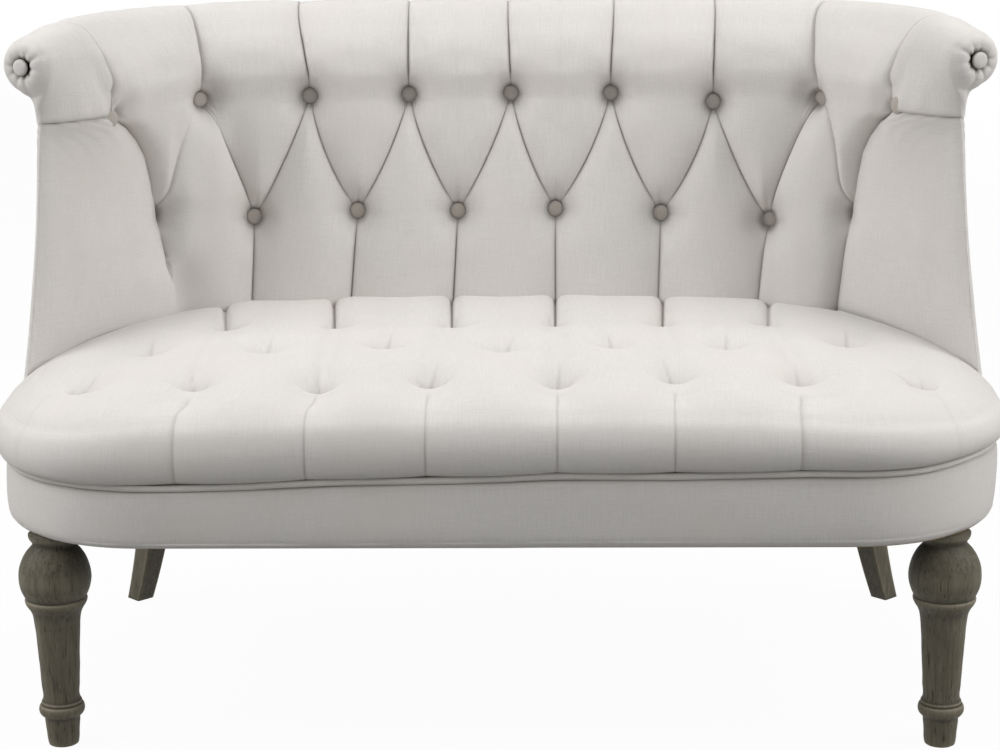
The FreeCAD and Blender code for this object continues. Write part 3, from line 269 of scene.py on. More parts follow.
@dataclass(frozen=True)
class WeatheredWood:
    """Grey-brown open-grained wood with paler rubbed edges and painted shade in its grooves."""

    name: str = "leg_wood"
    dark: Colour = (0.022, 0.018, 0.011)
    middle: Colour = (0.082, 0.071, 0.046)
    pale: Colour = (0.150, 0.134, 0.094)

    def material(self) -> bpy.types.Material:
        """Long grain, open pores, rubbed edges and painted shade in the turned grooves.

        Returns:
            The finished material.
        """
        shader = Shader(self.name)
        place = shader.place()
        painted_shade = shader.attribute("painted_shade")["Fac"]
        edge = shader.attribute("edge")["Fac"]
        bent = shader.noise(place, (9.0, 9.0, 3.0), 2.0)
        grain_place = shader.node("ShaderNodeVectorMath",
            {0: shader.scaled(place, (230.0, 230.0, 9.0)), 1: bent}, operation="ADD")[0]
        grain = shader.noise(grain_place, 1.0, 4.0, 0.62, 0.6)
        pores = shader.noise(place, (620.0, 620.0, 22.0), 2.0, 0.55)
        cloud = shader.noise(place, 26.0, 3.0, 0.6)
        pore = shader.ramp(pores, 0.60, 0.70)
        tone = shader.ramp(grain * 0.75 + cloud * 0.25, 0.36, 0.62)
        base = shader.mix(tone, self.middle, self.pale)
        base = shader.mix(shader.ramp(cloud, 0.45, 0.75) * 0.6, base, toned(self.middle, 0.72))
        base = shader.mix(pore * 0.8, base, self.dark)
        base = shader.mix(edge * 0.7, base, toned(self.pale, 1.9))
        # Painted shade: the turned grooves and the foot's underside are darkened almost to black.
        base = shader.mix(painted_shade * 0.85, base, self.dark)
        return shader.finish({"Base Color": base, "Roughness": 0.62 + 0.25 * pore,
            "Specular IOR Level": 0.35}, grain * 0.5 + (1.0 - pore) * 0.5, 0.0009, 0.7)


@dataclass(frozen=True)
class SawnWood:
    """Unfinished sawn hardwood of the hidden frame."""

    name: str = "frame_wood"
    early: Colour = (0.62, 0.46, 0.29)
    late: Colour = (0.45, 0.30, 0.17)
    stretch: tuple[float, float, float] = (5.0, 60.0, 60.0)

    def material(self) -> bpy.types.Material:
        """Growth rings drawn out along the plank, with saw marks across it.

        Returns:
            The finished material.
        """
        shader = Shader(self.name)
        place = shader.place()
        rings = shader.noise(shader.scaled(place, self.stretch), 1.0, 4.0, 0.6, 1.2)
        fine = shader.noise(shader.scaled(place, tuple(part * 6.0 for part in self.stretch)), 1.0, 2.0)
        saw = (shader.separate(place)["Z"] * 1400.0 + rings * 6.0).sine()
        base = shader.mix(shader.ramp(rings, 0.35, 0.65), self.early, self.late)
        base = shader.mix(shader.ramp(fine, 0.5, 0.75) * 0.4, base, self.late)
        return shader.finish({"Base Color": base, "Roughness": 0.70 + 0.15 * fine}, fine * 0.7 + saw * 0.1,
            0.0005, 0.5)


@dataclass(frozen=True)
class Woven:
    """A coarse plain weave: jute webbing, hessian or cambric."""

    name: str
    colour: Colour
    gap: Colour
    threads: float
    relief: float = 0.0004
    stripe: Colour | None = None

    def material(self) -> bpy.types.Material:
        """Over-and-under threads with fibres of uneven tone.

        Returns:
            The finished material.
        """
        shader = Shader(self.name)
        place = shader.place()
        parts = shader.separate(place)
        turn = self.threads * math.pi
        warp = (parts["X"] * turn).sine()
        weft = ((parts["Y"] + parts["Z"]) * turn).sine()
        height = (warp * weft).distance()
        fibre = shader.noise(shader.scaled(place, (self.threads * 0.4,) * 3), 1.0, 3.0, 0.6)
        cloud = shader.noise(place, 14.0, 2.0)
        base = shader.mix(shader.ramp(height, 0.02, 0.35), self.gap, self.colour)
        base = shader.mix(shader.ramp(fibre, 0.45, 0.75) * 0.35, base, toned(self.colour, 0.7))
        if self.stripe is not None:
            band = shader.ramp((parts["X"] * 42.0).sine(), 0.86, 0.90)
            base = shader.mix(band * 0.7, base, self.stripe)
        return shader.finish({"Base Color": base, "Roughness": 0.85 + 0.1 * cloud}, height * 0.7
            + fibre * 0.3, self.relief, 0.8)


@dataclass(frozen=True)
class Zinc:
    """Zinc-plated steel with a dull spangle."""

    name: str = "bolt_steel"
    colour: Colour = (0.56, 0.57, 0.59)

    def material(self) -> bpy.types.Material:
        """Blotched plating with fine scratches.

        Returns:
            The finished material.
        """
        shader = Shader(self.name)
        place = shader.place()
        blotch = shader.noise(place, 260.0, 3.0, 0.6)
        scratch = shader.noise(place, (1800.0, 1800.0, 90.0), 2.0)
        base = shader.mix(blotch, self.colour, toned(self.colour, 0.72))
        return shader.finish({"Base Color": base, "Metallic": 1.0, "Roughness": 0.3 + 0.25 * blotch},
            scratch, 0.00005, 0.4)


class Hue(Enum):
    """The linens of this piece."""

    COVER = Linen()
    # The back buttons' linen is darker than the cover: partly their own darker taupe, partly painted shade of
    # their recesses, with a darker shade colour too.
    TAUPE_SHADED_BUTTON = Linen(name="button_linen", colour=(0.47, 0.435, 0.39), slub=(0.38, 0.345, 0.30),
        warm=(0.43, 0.39, 0.34), tuck=(0.10, 0.09, 0.08))
    PIPING = Linen(name="linen_bias", turned=True, colour=(0.66, 0.63, 0.59))


# Meshes made from grids of points

UP = np.array([0.0, 0.0, 1.0])
FLAT = np.array([1.0, 1.0, 0.0])
ROUND_OVER = np.radians([67.5, 45.0, 22.5, 0.0, -22.5, -45.0, -67.5])


def held(share: Array | float) -> Array:
    """A share held between 0 and 1."""
    return np.clip(share, 0.0, 1.0)


def shares(count: int) -> Array:
    """Even shares from 0 to 1."""
    return np.linspace(0.0, 1.0, count)


def hump(away: Array | float, width: Array | float, power: float = 2) -> Array:
    """1 in the middle, and round off to 0 some widths away."""
    return np.exp(-(away / width) ** power)


def dying(away: Array | float, width: float) -> Array:
    """1 at its start, and sharply down to 0 some widths away."""
    return np.exp(-away / width)


def joined(*parts: Array | float) -> Array:
    """Arrays put side by side as the parts of vectors."""
    return np.stack(np.broadcast_arrays(*parts), axis=-1)


def lengths(vectors: Array) -> Array:
    """Length of each vector."""
    return np.linalg.norm(vectors, axis=-1)


def mirror(side: float) -> Array:
    """What turns a place on the right into one on a side."""
    return np.array([side, 1.0, 1.0])


def beside(line: Array) -> Array:
    """Unit direction to the left of each line of flat points."""
    run = unit(np.gradient(line, axis=0))
    return joined(-run[..., 1], run[..., 0])


def turned_to(across: Array, back: Array, angle: float) -> tuple[Array, Array]:
    """Flat places measured along a direction and square to it."""
    cos, sin = math.cos(angle), math.sin(angle)
    return across * cos + back * sin, back * cos - across * sin


def around(centre: Array, turn: Array, reach: Array, across: Array, up: Array = UP) -> Array:
    """Points round a centre, in the plane of two directions."""
    return centre + np.outer(np.cos(turn) * reach, across) + np.outer(np.sin(turn) * reach, up)


def travelled(points: Array) -> Array:
    """Distance gone along each line of points, from 0 at its first."""
    steps = lengths(np.diff(points, axis=0))
    return np.concatenate([0.0 * steps[:1], np.cumsum(steps, axis=0)])


def unit(vectors: Array) -> Array:
    """Vectors of length one."""
    return vectors / np.maximum(np.linalg.norm(vectors, axis=-1, keepdims=True), 1e-12)


def ease(share: Array | float) -> Array:
    """A share from 0 to 1 that starts and ends gently."""
    share = held(share)
    return share * share * (3.0 - 2.0 * share)


def mixed(low: Array | float, high: Array | float, share: Array | float) -> Array:
    """A value between two, by a share."""
    return low + (high - low) * share


def close_to_ends(count: int, crowding: float = 0.28) -> Array:
    """Shares from 0 to 1 that crowd together at both ends."""
    even = shares(count + 1)
    return crowding * even + (1.0 - crowding) * (0.5 - 0.5 * np.cos(math.pi * even))


def close_to_last(count: int, crowding: float = 0.35) -> Array:
    """Shares from 0 to 1 that crowd together at the last one."""
    even = shares(count + 1)
    return crowding * even + (1.0 - crowding) * np.sin(math.pi / 2.0 * even)


def curve_through(knots: Array, places: Array) -> Array:
    """A smooth curve through knots, which all columns share the parameter of.

    Args:
        knots: points of shape (K, N, D), with one curve for each of the N columns.
        places: parameters from 0 to K - 1; a whole number is on that knot.

    Returns:
        Points of shape (len(places), N, D).
    """
    chords = lengths(np.diff(knots, axis=0)).mean(axis=-1)
    chords = np.maximum(chords, 1e-6)
    slopes = np.diff(knots, axis=0) / chords[:, None, None]
    before, after = chords[:-1, None, None], chords[1:, None, None]
    inner = (after * slopes[:-1] + before * slopes[1:]) / (before + after)
    tangents = np.concatenate([slopes[:1], inner, slopes[-1:]])
    index = np.clip(np.floor(places).astype(int), 0, len(knots) - 2)
    part = (places - index)[:, None, None]
    span = chords[index][:, None, None]
    start, end = knots[index], knots[index + 1]
    leave, arrive = tangents[index] * span, tangents[index + 1] * span
    cube, square = part ** 3, part ** 2
    return ((2 * cube - 3 * square + 1) * start + (cube - 2 * square + part) * leave
        + (3 * square - 2 * cube) * end + (cube - square) * arrive)


def ripple(across: Array, up: Array, seed: int, scale: float) -> Array:
    """A gentle uneven surface: waves of mixed length and direction, near -1 to 1.

    Args:
        across: places one way.
        up: places the other way.
        seed: seed of the waves.
        scale: length of the longest wave.

    Returns:
        The unevenness at each place.
    """
    chance = np.random.default_rng(seed)
    total = np.zeros(np.broadcast(across, up).shape)
    for _ in range(9):
        angle = chance.uniform(0.0, math.pi)
        length = scale * chance.uniform(0.6, 1.7)
        phase = chance.uniform(0.0, math.tau)
        total = total + np.sin((across * math.cos(angle) + up * math.sin(angle)) * math.tau / length + phase)
    return total / 4.2


@dataclass
class Grid:
    """A sheet of points with its cloth's own measure and its painted shade.

    Attributes:
        points: places of shape (rows, columns, 3).
        cloth: two lengths along the cloth, of shape (rows, columns, 2).
        painted_shade: from 0 to 1, the painted shade where the cloth is drawn in or the wood is grooved, of
            shape (rows, columns).
        edge: from 0 to 1 where an edge is rubbed, of shape (rows, columns).
        outward: a direction out of the surface, one for all or one for each point.
        round_rows: the last row joins the first.
        round_columns: the last column joins the first.
    """

    points: Array
    cloth: Array
    outward: Array
    painted_shade: Array | None = None
    edge: Array | None = None
    round_rows: bool = False
    round_columns: bool = False

    def shade(self, label: str) -> Array:
        """The painted shade or the rubbed edge of every point, or 0 where the sheet has none."""
        values = getattr(self, label)
        return np.zeros(self.points[..., 0].size) if values is None else values.reshape(-1)

    def faces(self) -> Array:
        """Corner numbers of each face, turned so that the faces look outward.

        Returns:
            One row of four corner numbers for each face.
        """
        rows, columns = self.points.shape[:2]
        number = np.arange(rows * columns).reshape(rows, columns)
        if self.round_rows:
            number = np.vstack([number, number[:1]])
        if self.round_columns:
            number = np.hstack([number, number[:, :1]])
        faces = joined(number[:-1, :-1], number[:-1, 1:], number[1:, 1:], number[1:, :-1]).reshape(-1, 4)
        flat = self.points.reshape(-1, 3)
        normal = np.cross(flat[faces[:, 2]] - flat[faces[:, 0]], flat[faces[:, 3]] - flat[faces[:, 1]])
        outward = np.broadcast_to(self.outward, self.points.shape).reshape(-1, 3)[faces[:, 0]]
        if float((normal * outward).sum()) < 0.0:
            faces = faces[:, ::-1]
        return faces


class Sewing:
    """Makes a mesh object out of grids."""

    @staticmethod
    def make(name: str, grids: list[Grid], merge: float = 2e-6) -> bpy.types.Object:
        """Join grids into one smooth mesh.

        Args:
            name: the object's name.
            grids: the sheets, whose shared borders become one.
            merge: how near two points are to become one, in metres.

        Returns:
            The object, linked to the scene.
        """
        points = np.concatenate([grid.points.reshape(-1, 3) for grid in grids])
        starts = np.cumsum([0] + [grid.points[..., 0].size for grid in grids])
        faces = np.concatenate([grid.faces() + start for grid, start in zip(grids, starts)])
        mesh = Sewing._mesh(name, points, faces)
        cloth = np.concatenate([grid.cloth.reshape(-1, 2) for grid in grids])
        flat = joined(cloth[:, 0], cloth[:, 1], 0.0).astype(np.float32)
        mesh.attributes.new("cloth", "FLOAT_VECTOR", "POINT").data.foreach_set("vector", flat.ravel())
        # The painted shade and the rubbed edges are stored on the points for the finishes to read.
        for label in ("painted_shade", "edge"):
            values = np.concatenate([grid.shade(label) for grid in grids]).astype(np.float32)
            mesh.attributes.new(label, "FLOAT", "POINT").data.foreach_set("value", values)
        cleaned = bmesh.new()
        cleaned.from_mesh(mesh)
        bmesh.ops.remove_doubles(cleaned, verts=cleaned.verts, dist=merge)
        cleaned.to_mesh(mesh)
        cleaned.free()
        mesh.polygons.foreach_set("use_smooth", np.ones(len(mesh.polygons), dtype=bool))
        return put(name, mesh)

    @staticmethod
    def _mesh(name: str, points: Array, faces: Array) -> bpy.types.Mesh:
        """A mesh from arrays of points and four-cornered faces.

        Args:
            name: the name in a maker's words.
            points: the corners.
            faces: corner numbers of each face.

        Returns:
            The smooth mesh.
        """
        mesh = bpy.data.meshes.new(name)
        mesh.vertices.add(len(points))
        mesh.vertices.foreach_set("co", points.astype(np.float32).ravel())
        mesh.loops.add(faces.size)
        mesh.loops.foreach_set("vertex_index", faces.astype(np.int32).ravel())
        mesh.polygons.add(len(faces))
        mesh.polygons.foreach_set("loop_start", np.arange(0, faces.size, 4, dtype=np.int32))
        mesh.update(calc_edges=True)
        mesh.validate()
        return mesh


def put(name: str, data: bpy.types.ID) -> bpy.types.Object:
    """Put an object into the scene.

    Args:
        name: its name.
        data: its mesh, lamp or camera.

    Returns:
        The new object.
    """
    made = bpy.data.objects.new(name, data)
    bpy.context.scene.collection.objects.link(made)
    return made


def dressed(piece: bpy.types.Object, material: bpy.types.Material, slot: str,
            *nodes: str) -> bpy.types.Object:
    """Give a piece its material and hide the nodes it stands for.

    Args:
        piece: the object.
        material: its finish.
        slot: not used.
        nodes: the CAD nodes it replaces.

    Returns:
        The same object.
    """
    piece.data.materials.append(material)
    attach(piece, "root")
    if nodes:
        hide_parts(*nodes)
    return piece


# Places that the pieces share

@dataclass(frozen=True)
class Layout:
    """Shape of the seat's plan and of the curved back, in metres."""

    half_seat: float = 0.583
    front_y: float = -0.313
    front_radius: float = 0.183
    rear_radius: float = 0.160
    front_centre: tuple[float, float] = (0.400, -0.130)
    rear_centre: tuple[float, float] = (0.423, 0.127)
    rail_base: float = 0.258
    cushion_base: float = 0.3447
    seat_level: float = 0.450
    pad_start: float = 0.424
    row_2: float = 0.560
    row_1: float = 0.702
    neck: float = 0.728
    seam: float = 0.704
    button_line: float = 0.228
    tub_radius: float = 0.190
    flat_half: float = 0.284
    rake: float = 0.246
    columns_each_side: float = 4.446
    roll_z: float = 0.776
    roll_radius: float = 0.043
    roll_offset: float = 0.054
    wing_bottom_y: float = -0.068
    wing_top_y: float = -0.033

    @property
    def pitch(self) -> float:
        """Distance between two buttons of a row."""
        return (self.flat_half + self.tub_radius * math.pi / 2.0) / self.columns_each_side

    @property
    def tub_centre_y(self) -> float:
        """Middle of the tub's bends."""
        return self.button_line - self.tub_radius

    def tub(self, height: Array, along: Array, out: Array, above: bool = False) -> Array:
        """Points of the curved back.

        Args:
            height: heights above the floor.
            along: distances along the back from its middle.
            out: distances behind the button line.
            above: the back stands upright, as it does above the top buttons.

        Returns:
            Points of the shape that the three have together.
        """
        height, along, out = np.broadcast_arrays(height, along, out)
        drop = np.maximum(self.row_1 - np.maximum(height, self.seat_level), 0.0)
        base = self.button_line - (0.0 if above else self.rake * drop)
        away = np.abs(along)
        turn = np.maximum(away - self.flat_half, 0.0) / self.tub_radius
        x = np.minimum(away, self.flat_half) + (self.tub_radius + out) * np.sin(turn)
        y = base - self.tub_radius + (self.tub_radius + out) * np.cos(turn)
        return joined(np.sign(along) * x, y, height)

    def crease(self, height: Array) -> Array:
        """Distance along the back from its middle to the crease beside the wing."""
        bend = ([self.seat_level, 0.530, 0.546, self.row_2, 0.574, 0.605, 0.640, 0.662, 0.682, self.row_1],
            [46.0, 50.8, 52.6, 54.6, 55.0, 56.8, 60.4, 65.5, 73.0, 90.0])
        return self.flat_half + self.tub_radius * np.radians(np.interp(height, *bend))

    def corner(self, height: Array) -> Array:
        """Distance along the back to where the wing leaves the tub's bend."""
        angle = np.interp(height, [self.seat_level, self.row_2, self.row_1], [46.0, 53.0, 90.0])
        return self.flat_half + self.tub_radius * np.radians(angle)

    def along(self, height: Array, column: Array) -> Array:
        """Distance along the back of a column, counted in buttons from the middle.

        Args:
            height: heights above the floor.
            column: columns, counted in buttons from the middle.

        Returns:
            The distances, along the line of the buttons.
        """
        away = np.abs(column)
        share = np.clip(away - 2.5, 0.0, None)
        corner = self.corner(height)
        fan = 2.5 * self.pitch + share * (corner - 2.5 * self.pitch)
        fan = fan + (self.crease(height) - corner) * share ** 4
        return np.sign(column) * np.where(away <= 2.5, away * self.pitch, fan)

    def wing_edge(self, height: Array) -> Array:
        """Front edge of the right wing.

        Args:
            height: heights above the floor.

        Returns:
            Points of the edge.
        """
        share = (np.asarray(height) - self.cushion_base) / (self.row_1 - self.cushion_base)
        drawn = 0.006 * np.sin(math.pi * held(share) ** 0.8)
        x = self.half_seat - 0.002 - 0.036 * share - drawn
        y = self.wing_bottom_y + (self.wing_top_y - self.wing_bottom_y) * share
        return joined(x, y, np.asarray(height) + 0.0 * share)

    def roll_corner(self, height: float = 0.0) -> Array:
        """Middle of the roll over the right corner button, at a height."""
        return self.tub(height, float(self.crease(self.row_1)), self.roll_offset, True)

    def sunk(self, height: Array, side: Array | float) -> Array:
        """How far the crease beside a wing is drawn in; the left one runs out low down."""
        return np.where(np.asarray(side) > 0.0, 1.0, ease((np.asarray(height) - 0.478) / 0.055))

    def sag(self, travel: Array) -> Array:
        """How far the piping lies above its even height along the seat's front.

        Args:
            travel: distances along the seat's edge.

        Returns:
            The rise at each place.
        """
        knots = np.array([-740, -640, -565, -440, -380, -270, -160, -75, 0, 70, 200, 340, 480, 560, 640, 740])
        values = np.array([0, -7, -10, -10, -10.5, -8, -3.5, -1.5, -0.5, 2, 2.5, 4, 4.5, 7.5, 7, 0])
        return np.interp(travel, knots * 0.001, values * 0.001)

    def inward(self, x: Array, y: Array) -> Array:
        """Distance of a place on the seat from its edge in plan.

        Args:
            x: places across.
            y: places in depth.

        Returns:
            The distances, below 0 outside.
        """
        x, y = np.broadcast_arrays(np.abs(x), y)
        centre = self.front_centre
        bend = self.front_radius - np.hypot(x - centre[0], y - centre[1])
        plain = np.minimum(y - self.front_y, self.half_seat - x)
        return np.where((x > centre[0]) & (y < centre[1]), bend, plain)

    def edge_to(self, y: float) -> float:
        """Length of the seat's edge from its front middle round to a place on its side."""
        return self.front_centre[0] + self.front_radius * math.pi / 2.0 + y - self.front_centre[1]

    def outline(self, travel: Array, inset: float = 0.0) -> tuple[Array, Array]:
        """Plan of the seat's edge and its outward direction.

        Args:
            travel: distance along the edge from the front middle.
            inset: how far inside the edge.

        Returns:
            Points at height 0 and unit vectors that point out of the seat.
        """
        travel = np.asarray(travel, dtype=float)
        away = np.abs(travel)
        straight = self.front_centre[0]
        bend = self.front_radius * math.pi / 2.0
        turn = np.clip((away - straight) / self.front_radius, 0.0, math.pi / 2.0)
        past = np.maximum(away - straight - bend, 0.0)
        reach = self.front_radius - inset
        side = np.where(travel >= 0.0, 1.0, -1.0)
        x = side * (np.minimum(away, straight) + reach * np.sin(turn))
        y = self.front_centre[1] - reach * np.cos(turn) + past
        normal = joined(side * np.sin(turn), -np.cos(turn), 0.0 * turn)
        return joined(x, y, 0.0 * x), normal


PLAN = Layout()


# Deep-buttoned back and the roll along its top

@dataclass
class Creases:
    """Fold lines drawn on the flat cloth of the back, as runs of short straight pieces."""

    starts: list[tuple[float, float]] = field(default_factory=list)
    ends: list[tuple[float, float]] = field(default_factory=list)

    def add(self, points: Array) -> None:
        """Add a line through points (across, up)."""
        for start, end in zip(points[:-1], points[1:]):
            self.starts.append(tuple(start))
            self.ends.append(tuple(end))

    def distances(self, across: Array, up: Array) -> tuple[Array, Array]:
        """How far each place is from the lines.

        Args:
            across: places along the back.
            up: places up the back.

        Returns:
            The distance to the nearest line, and a smoother one that feels all of them.
        """
        place = joined(across, up).reshape(-1, 2)
        nearest = np.full(len(place), 10.0)
        felt = np.zeros(len(place))
        for start, end in zip(np.array(self.starts), np.array(self.ends)):
            run = end - start
            share = held(((place - start) @ run) / max(float(run @ run), 1e-12))
            away = lengths(place - start - share[:, None] * run)
            nearest = np.minimum(nearest, away)
            felt += (away + 0.0004) ** -6.0 * float(np.linalg.norm(run))
        smooth = (felt / 0.02) ** (-1.0 / 6.0)
        return nearest.reshape(across.shape), np.minimum(smooth, nearest * 1.6).reshape(across.shape)


@dataclass
class ButtonedBack:
    """The inside back with its diamond creases, and the padded roll that it runs up over."""

    steps_per_half: int = 22
    lower_rows: int = 64
    upper_rows: int = 36
    roll_rows: int = 74
    end_steps: int = 30
    swell: float = 0.0135
    brow: float = 0.0036
    crease_stand: float = 0.0130
    groove: float = 0.0022
    lap: float = 0.0013
    top_columns: tuple[float, ...] = (0.0, 1.0, 2.0, 2.784, 3.5)
    low_columns: tuple[float, ...] = (0.5, 1.5, 2.5, 3.5)
    all_columns: tuple[float, ...] = (0.0, 0.5, 1.0, 1.5, 2.0, 2.5, 2.784, 3.5)
    end_centre: tuple[float, float] = (0.560, -0.030)
    end_radius: float = 0.034
    end_height: float = 0.770
    roll_knots: tuple[tuple[float, ...], ...] = ((0.750, -0.0080, -0.0245, 0.0, 0.0055),
        (0.768, 0.0010, -0.0175, 0.0, 0.0040), (0.783, 0.0080, -0.0072, 0.0005, 0.0020),
        (0.795, 0.0152, 0.0042, 0.001, 0.0010), (0.807, 0.0230, 0.0164, 0.0016, 0.0),
        (0.8188, 0.0358, 0.0326, 0.0022, 0.0), (0.824, 0.054, 0.054, 0.0024, 0.0))
    roll_shift: tuple[float, ...] = (0.0, 12.0, -4.0, 8.0, 5.5, 11.0, 10.0, -12.0, 0.0)
    top_shift: tuple[tuple[float, float, float], ...] = ((-3.5, 0.0, -5.0), (-2.784, 5.0, -1.0),
        (-2.0, 12.0, -1.0), (-1.0, 9.0, 0.0), (0.0, 9.0, 1.0), (1.0, 6.0, 0.0), (2.0, 6.0, -12.0),
        (2.784, 12.0, -4.0), (3.5, 0.0, 0.0))
    low_shift: tuple[tuple[float, float, float], ...] = ((-3.5, 0.0, 4.0), (-2.5, 5.0, -9.0),
        (-1.5, 8.0, -3.0), (-0.5, 6.0, -4.0), (0.5, 0.0, -2.0), (1.5, 4.0, -8.0), (2.5, 12.0, -16.0),
        (3.5, 0.0, 0.0))

    def placed(self, column: Array, height: Array) -> tuple[Array, Array]:
        """Where a column is at a height, with the buttons a little off their even places.

        Args:
            column: columns, counted in buttons from the middle.
            height: even heights.

        Returns:
            Distances along the back and true heights.
        """
        column, height = np.broadcast_arrays(column, height)
        upper = held((height - PLAN.row_2) / (PLAN.row_1 - PLAN.row_2))
        lower = held((height - PLAN.seat_level) / (PLAN.row_2 - PLAN.seat_level))
        above = held((PLAN.neck + 0.030 - height) / (PLAN.neck + 0.030 - PLAN.row_1))
        shifts = []
        for part in (1, 2):
            low, top = (np.interp(column, row[:, 0], row[:, part] * 0.001)
                for row in (np.array(self.low_shift), np.array(self.top_shift)))
            shifts.append(mixed(low * lower, top, upper))
        true = height + shifts[1] * above
        return PLAN.along(true, column) + shifts[0], true

    def columns(self) -> Array:
        """Columns of the mesh, crowded together at every crease.

        Returns:
            The columns, from left to right.
        """
        right = [np.array([0.0])]
        for low, high in zip(self.all_columns, self.all_columns[1:]):
            count = self.steps_per_half if high < 2.7 else int(self.steps_per_half * 0.8)
            count = int(self.steps_per_half * 1.6) if high > 3.0 else count
            right.append(low + (high - low) * close_to_ends(count)[1:])
        right = np.concatenate(right)
        return np.concatenate([-right[:0:-1], right])

    def fold_height(self, column: Array) -> Array:
        """Height of the diamond crease at each column.

        Args:
            column: columns, counted in buttons from the middle.

        Returns:
            The heights.
        """
        low, high = PLAN.row_2, PLAN.row_1
        away = np.abs(column)
        linear = np.interp(away, self.all_columns, [1.0, 0.0] * 4)
        linear = np.where(away > 2.784, 1.0 - (1.0 - linear) ** 1.5, linear)
        bent = (-0.55 + np.sqrt(0.55 ** 2 + 4.0 * 0.45 * (1.0 - linear))) / 0.9
        return high - (high - low) * bent

    def creases(self) -> Creases:
        """All crease lines of the back, up to the roll's foot.

        Returns:
            The lines, ready to measure from.
        """
        lines = Creases()
        for side in (-1.0, 1.0):
            for low, high in zip(self.all_columns, self.all_columns[1:]):
                column = side * np.linspace(low, high, 9)
                lines.add(joined(*self.placed(column, self.fold_height(column))))
            foot = 0.512 if side < 0.0 else PLAN.cushion_base
            upright = [(column, foot if column == 3.5 else PLAN.cushion_base, PLAN.row_2, 7)
                for column in self.low_columns]
            upright += [(column, PLAN.row_1, PLAN.neck + 0.06, 4) for column in self.top_columns]
            for column, low, high, count in (*upright, (3.5, PLAN.row_2, PLAN.row_1, 9)):
                lines.add(joined(*self.placed(side * column, np.linspace(low, high, count))))
        return lines

    def buttons(self) -> list[tuple[Array, Array, float, float]]:
        """Root, outward direction, distance along and height of every button.

        Returns:
            One tuple for each button.
        """
        places = []
        for height, columns in ((PLAN.row_1, self.top_columns), (PLAN.row_2, self.low_columns)):
            for column in columns:
                for side in (-1.0, 1.0):
                    if column == 0.0 and side > 0.0:
                        continue
                    along, up = (float(part) for part in self.placed(side * column, height))
                    root = PLAN.tub(up, along, 0.0)
                    out = PLAN.tub(up, along, 1.0) - root
                    top, corner = height == PLAN.row_1, column == 3.5
                    deep = (-0.0030 if top else 0.0200) if corner else 0.0034
                    root = root + unit(out) * (deep + (0.004 if side * column > 2.4 else 0.0))
                    if corner and top:
                        root = root + np.array([side * 0.0072, -0.007, 0.007 if side > 0.0 else 0.001])
                    if corner:
                        out = out + np.array([0.0, 0.8 if top else 0.2, 0.0])
                    places.append((root, unit(out), along, up))
        return places

    def stand(self, along: Array, height: Array, lines: Creases) -> tuple[Array, Array]:
        """How far the padding stands in front of the button line.

        Args:
            along: distances along the back.
            height: heights above the floor.
            lines: its crease lines.

        Returns:
            The stand in metres, and the share of painted shade at each place.
        """
        near, felt = lines.distances(along, height)
        wing = np.maximum(PLAN.crease(height) - np.abs(along), 0.0)
        faint = hump(along + 0.405, 0.040, 4) * ease((height - 0.57) / 0.02)
        faint = faint * (1.0 - ease((height - 0.690) / 0.02)) * ease((wing - 0.004) / 0.012)
        felt = felt + 0.020 * faint
        faint = 1.0 - 0.92 * faint
        reach = 1.0 - held(felt / 0.054)
        broad = self.swell * (1.0 - reach ** 2) * np.interp(height, [0.64, 0.728], [1.0, 0.85])
        brow = self.brow * (1.0 - dying(felt, 0.0060))
        bare = np.full(along.shape, 10.0)
        for _, _, place, row in self.buttons():
            bare = np.minimum(bare, np.hypot(along - place, (height - row) * 0.92))
        open_up = 1.0 - hump(np.maximum(bare - 0.006, 0.0), 0.017)
        base = self.crease_stand * (1.0 - hump(bare, 0.025, 1.7))
        base = base + 0.0056 * ease((bare - 0.0084) / 0.0042) - 0.0030
        stand = base + (broad + brow) * open_up
        side = self.crease_side(along, height)
        stand = stand + self.lap * dying(near, 0.008) * open_up * side * faint
        stand = stand - self.groove * dying(near, 0.0012) * open_up * faint
        stand = stand + 0.0008 * ripple(along, height, 11, 0.09) * held(near / 0.02)
        stand = stand + self.marks(along, height)
        sunk = PLAN.sunk(height, along)
        stand = stand * (1.0 - sunk * dying(wing, 0.006)) - 0.0006 * sunk * dying(wing, 0.003)
        stand = mixed(stand, 0.0095, (1.0 - sunk) * hump(wing, 0.035))
        pit = np.hypot(wing, (height - PLAN.row_2 - 0.003) * 0.8)
        stand = stand - 0.015 * hump(pit, 0.017)
        stand = stand * ease((height - PLAN.pad_start) / 0.015)
        low = held((PLAN.row_2 - height) / 0.03)
        # Painted shade: dark lines along the creases, halos round the buttons, darker creases low down, the
        # wing's crease and the pit beside it.
        painted_shade = (0.50 * dying(near, 0.0009) * faint + 0.70 * hump(bare, 0.0132, 6) + 0.24 * hump(bare, 0.021)
            + 0.30 * low * dying(near, 0.0018) + 0.35 * sunk * dying(wing, 0.0018)
            + 0.55 * hump(pit, 0.014))
        return stand, held(painted_shade)

    def crease_side(self, along: Array, height: Array) -> Array:
        """1 on the side of a crease that laps over, and -0.4 on the other.

        Args:
            along: distances along the back.
            height: heights above the floor.

        Returns:
            The side of each place.
        """
        columns = np.linspace(-3.5, 3.5, 561)
        fold_along, fold_up = self.placed(columns, self.fold_height(columns))
        side = np.where(height < np.interp(along, fold_along, fold_up), 1.0, -0.4)
        for column in self.low_columns:
            for sign in (-1.0, 1.0):
                place, _ = self.placed(sign * column, height)
                near = (np.abs(along - place) < 0.03) & (height < PLAN.row_2 - 0.012)
                side = np.where(near & ((along - place) * sign < 0.0), -0.4, side)
        return side

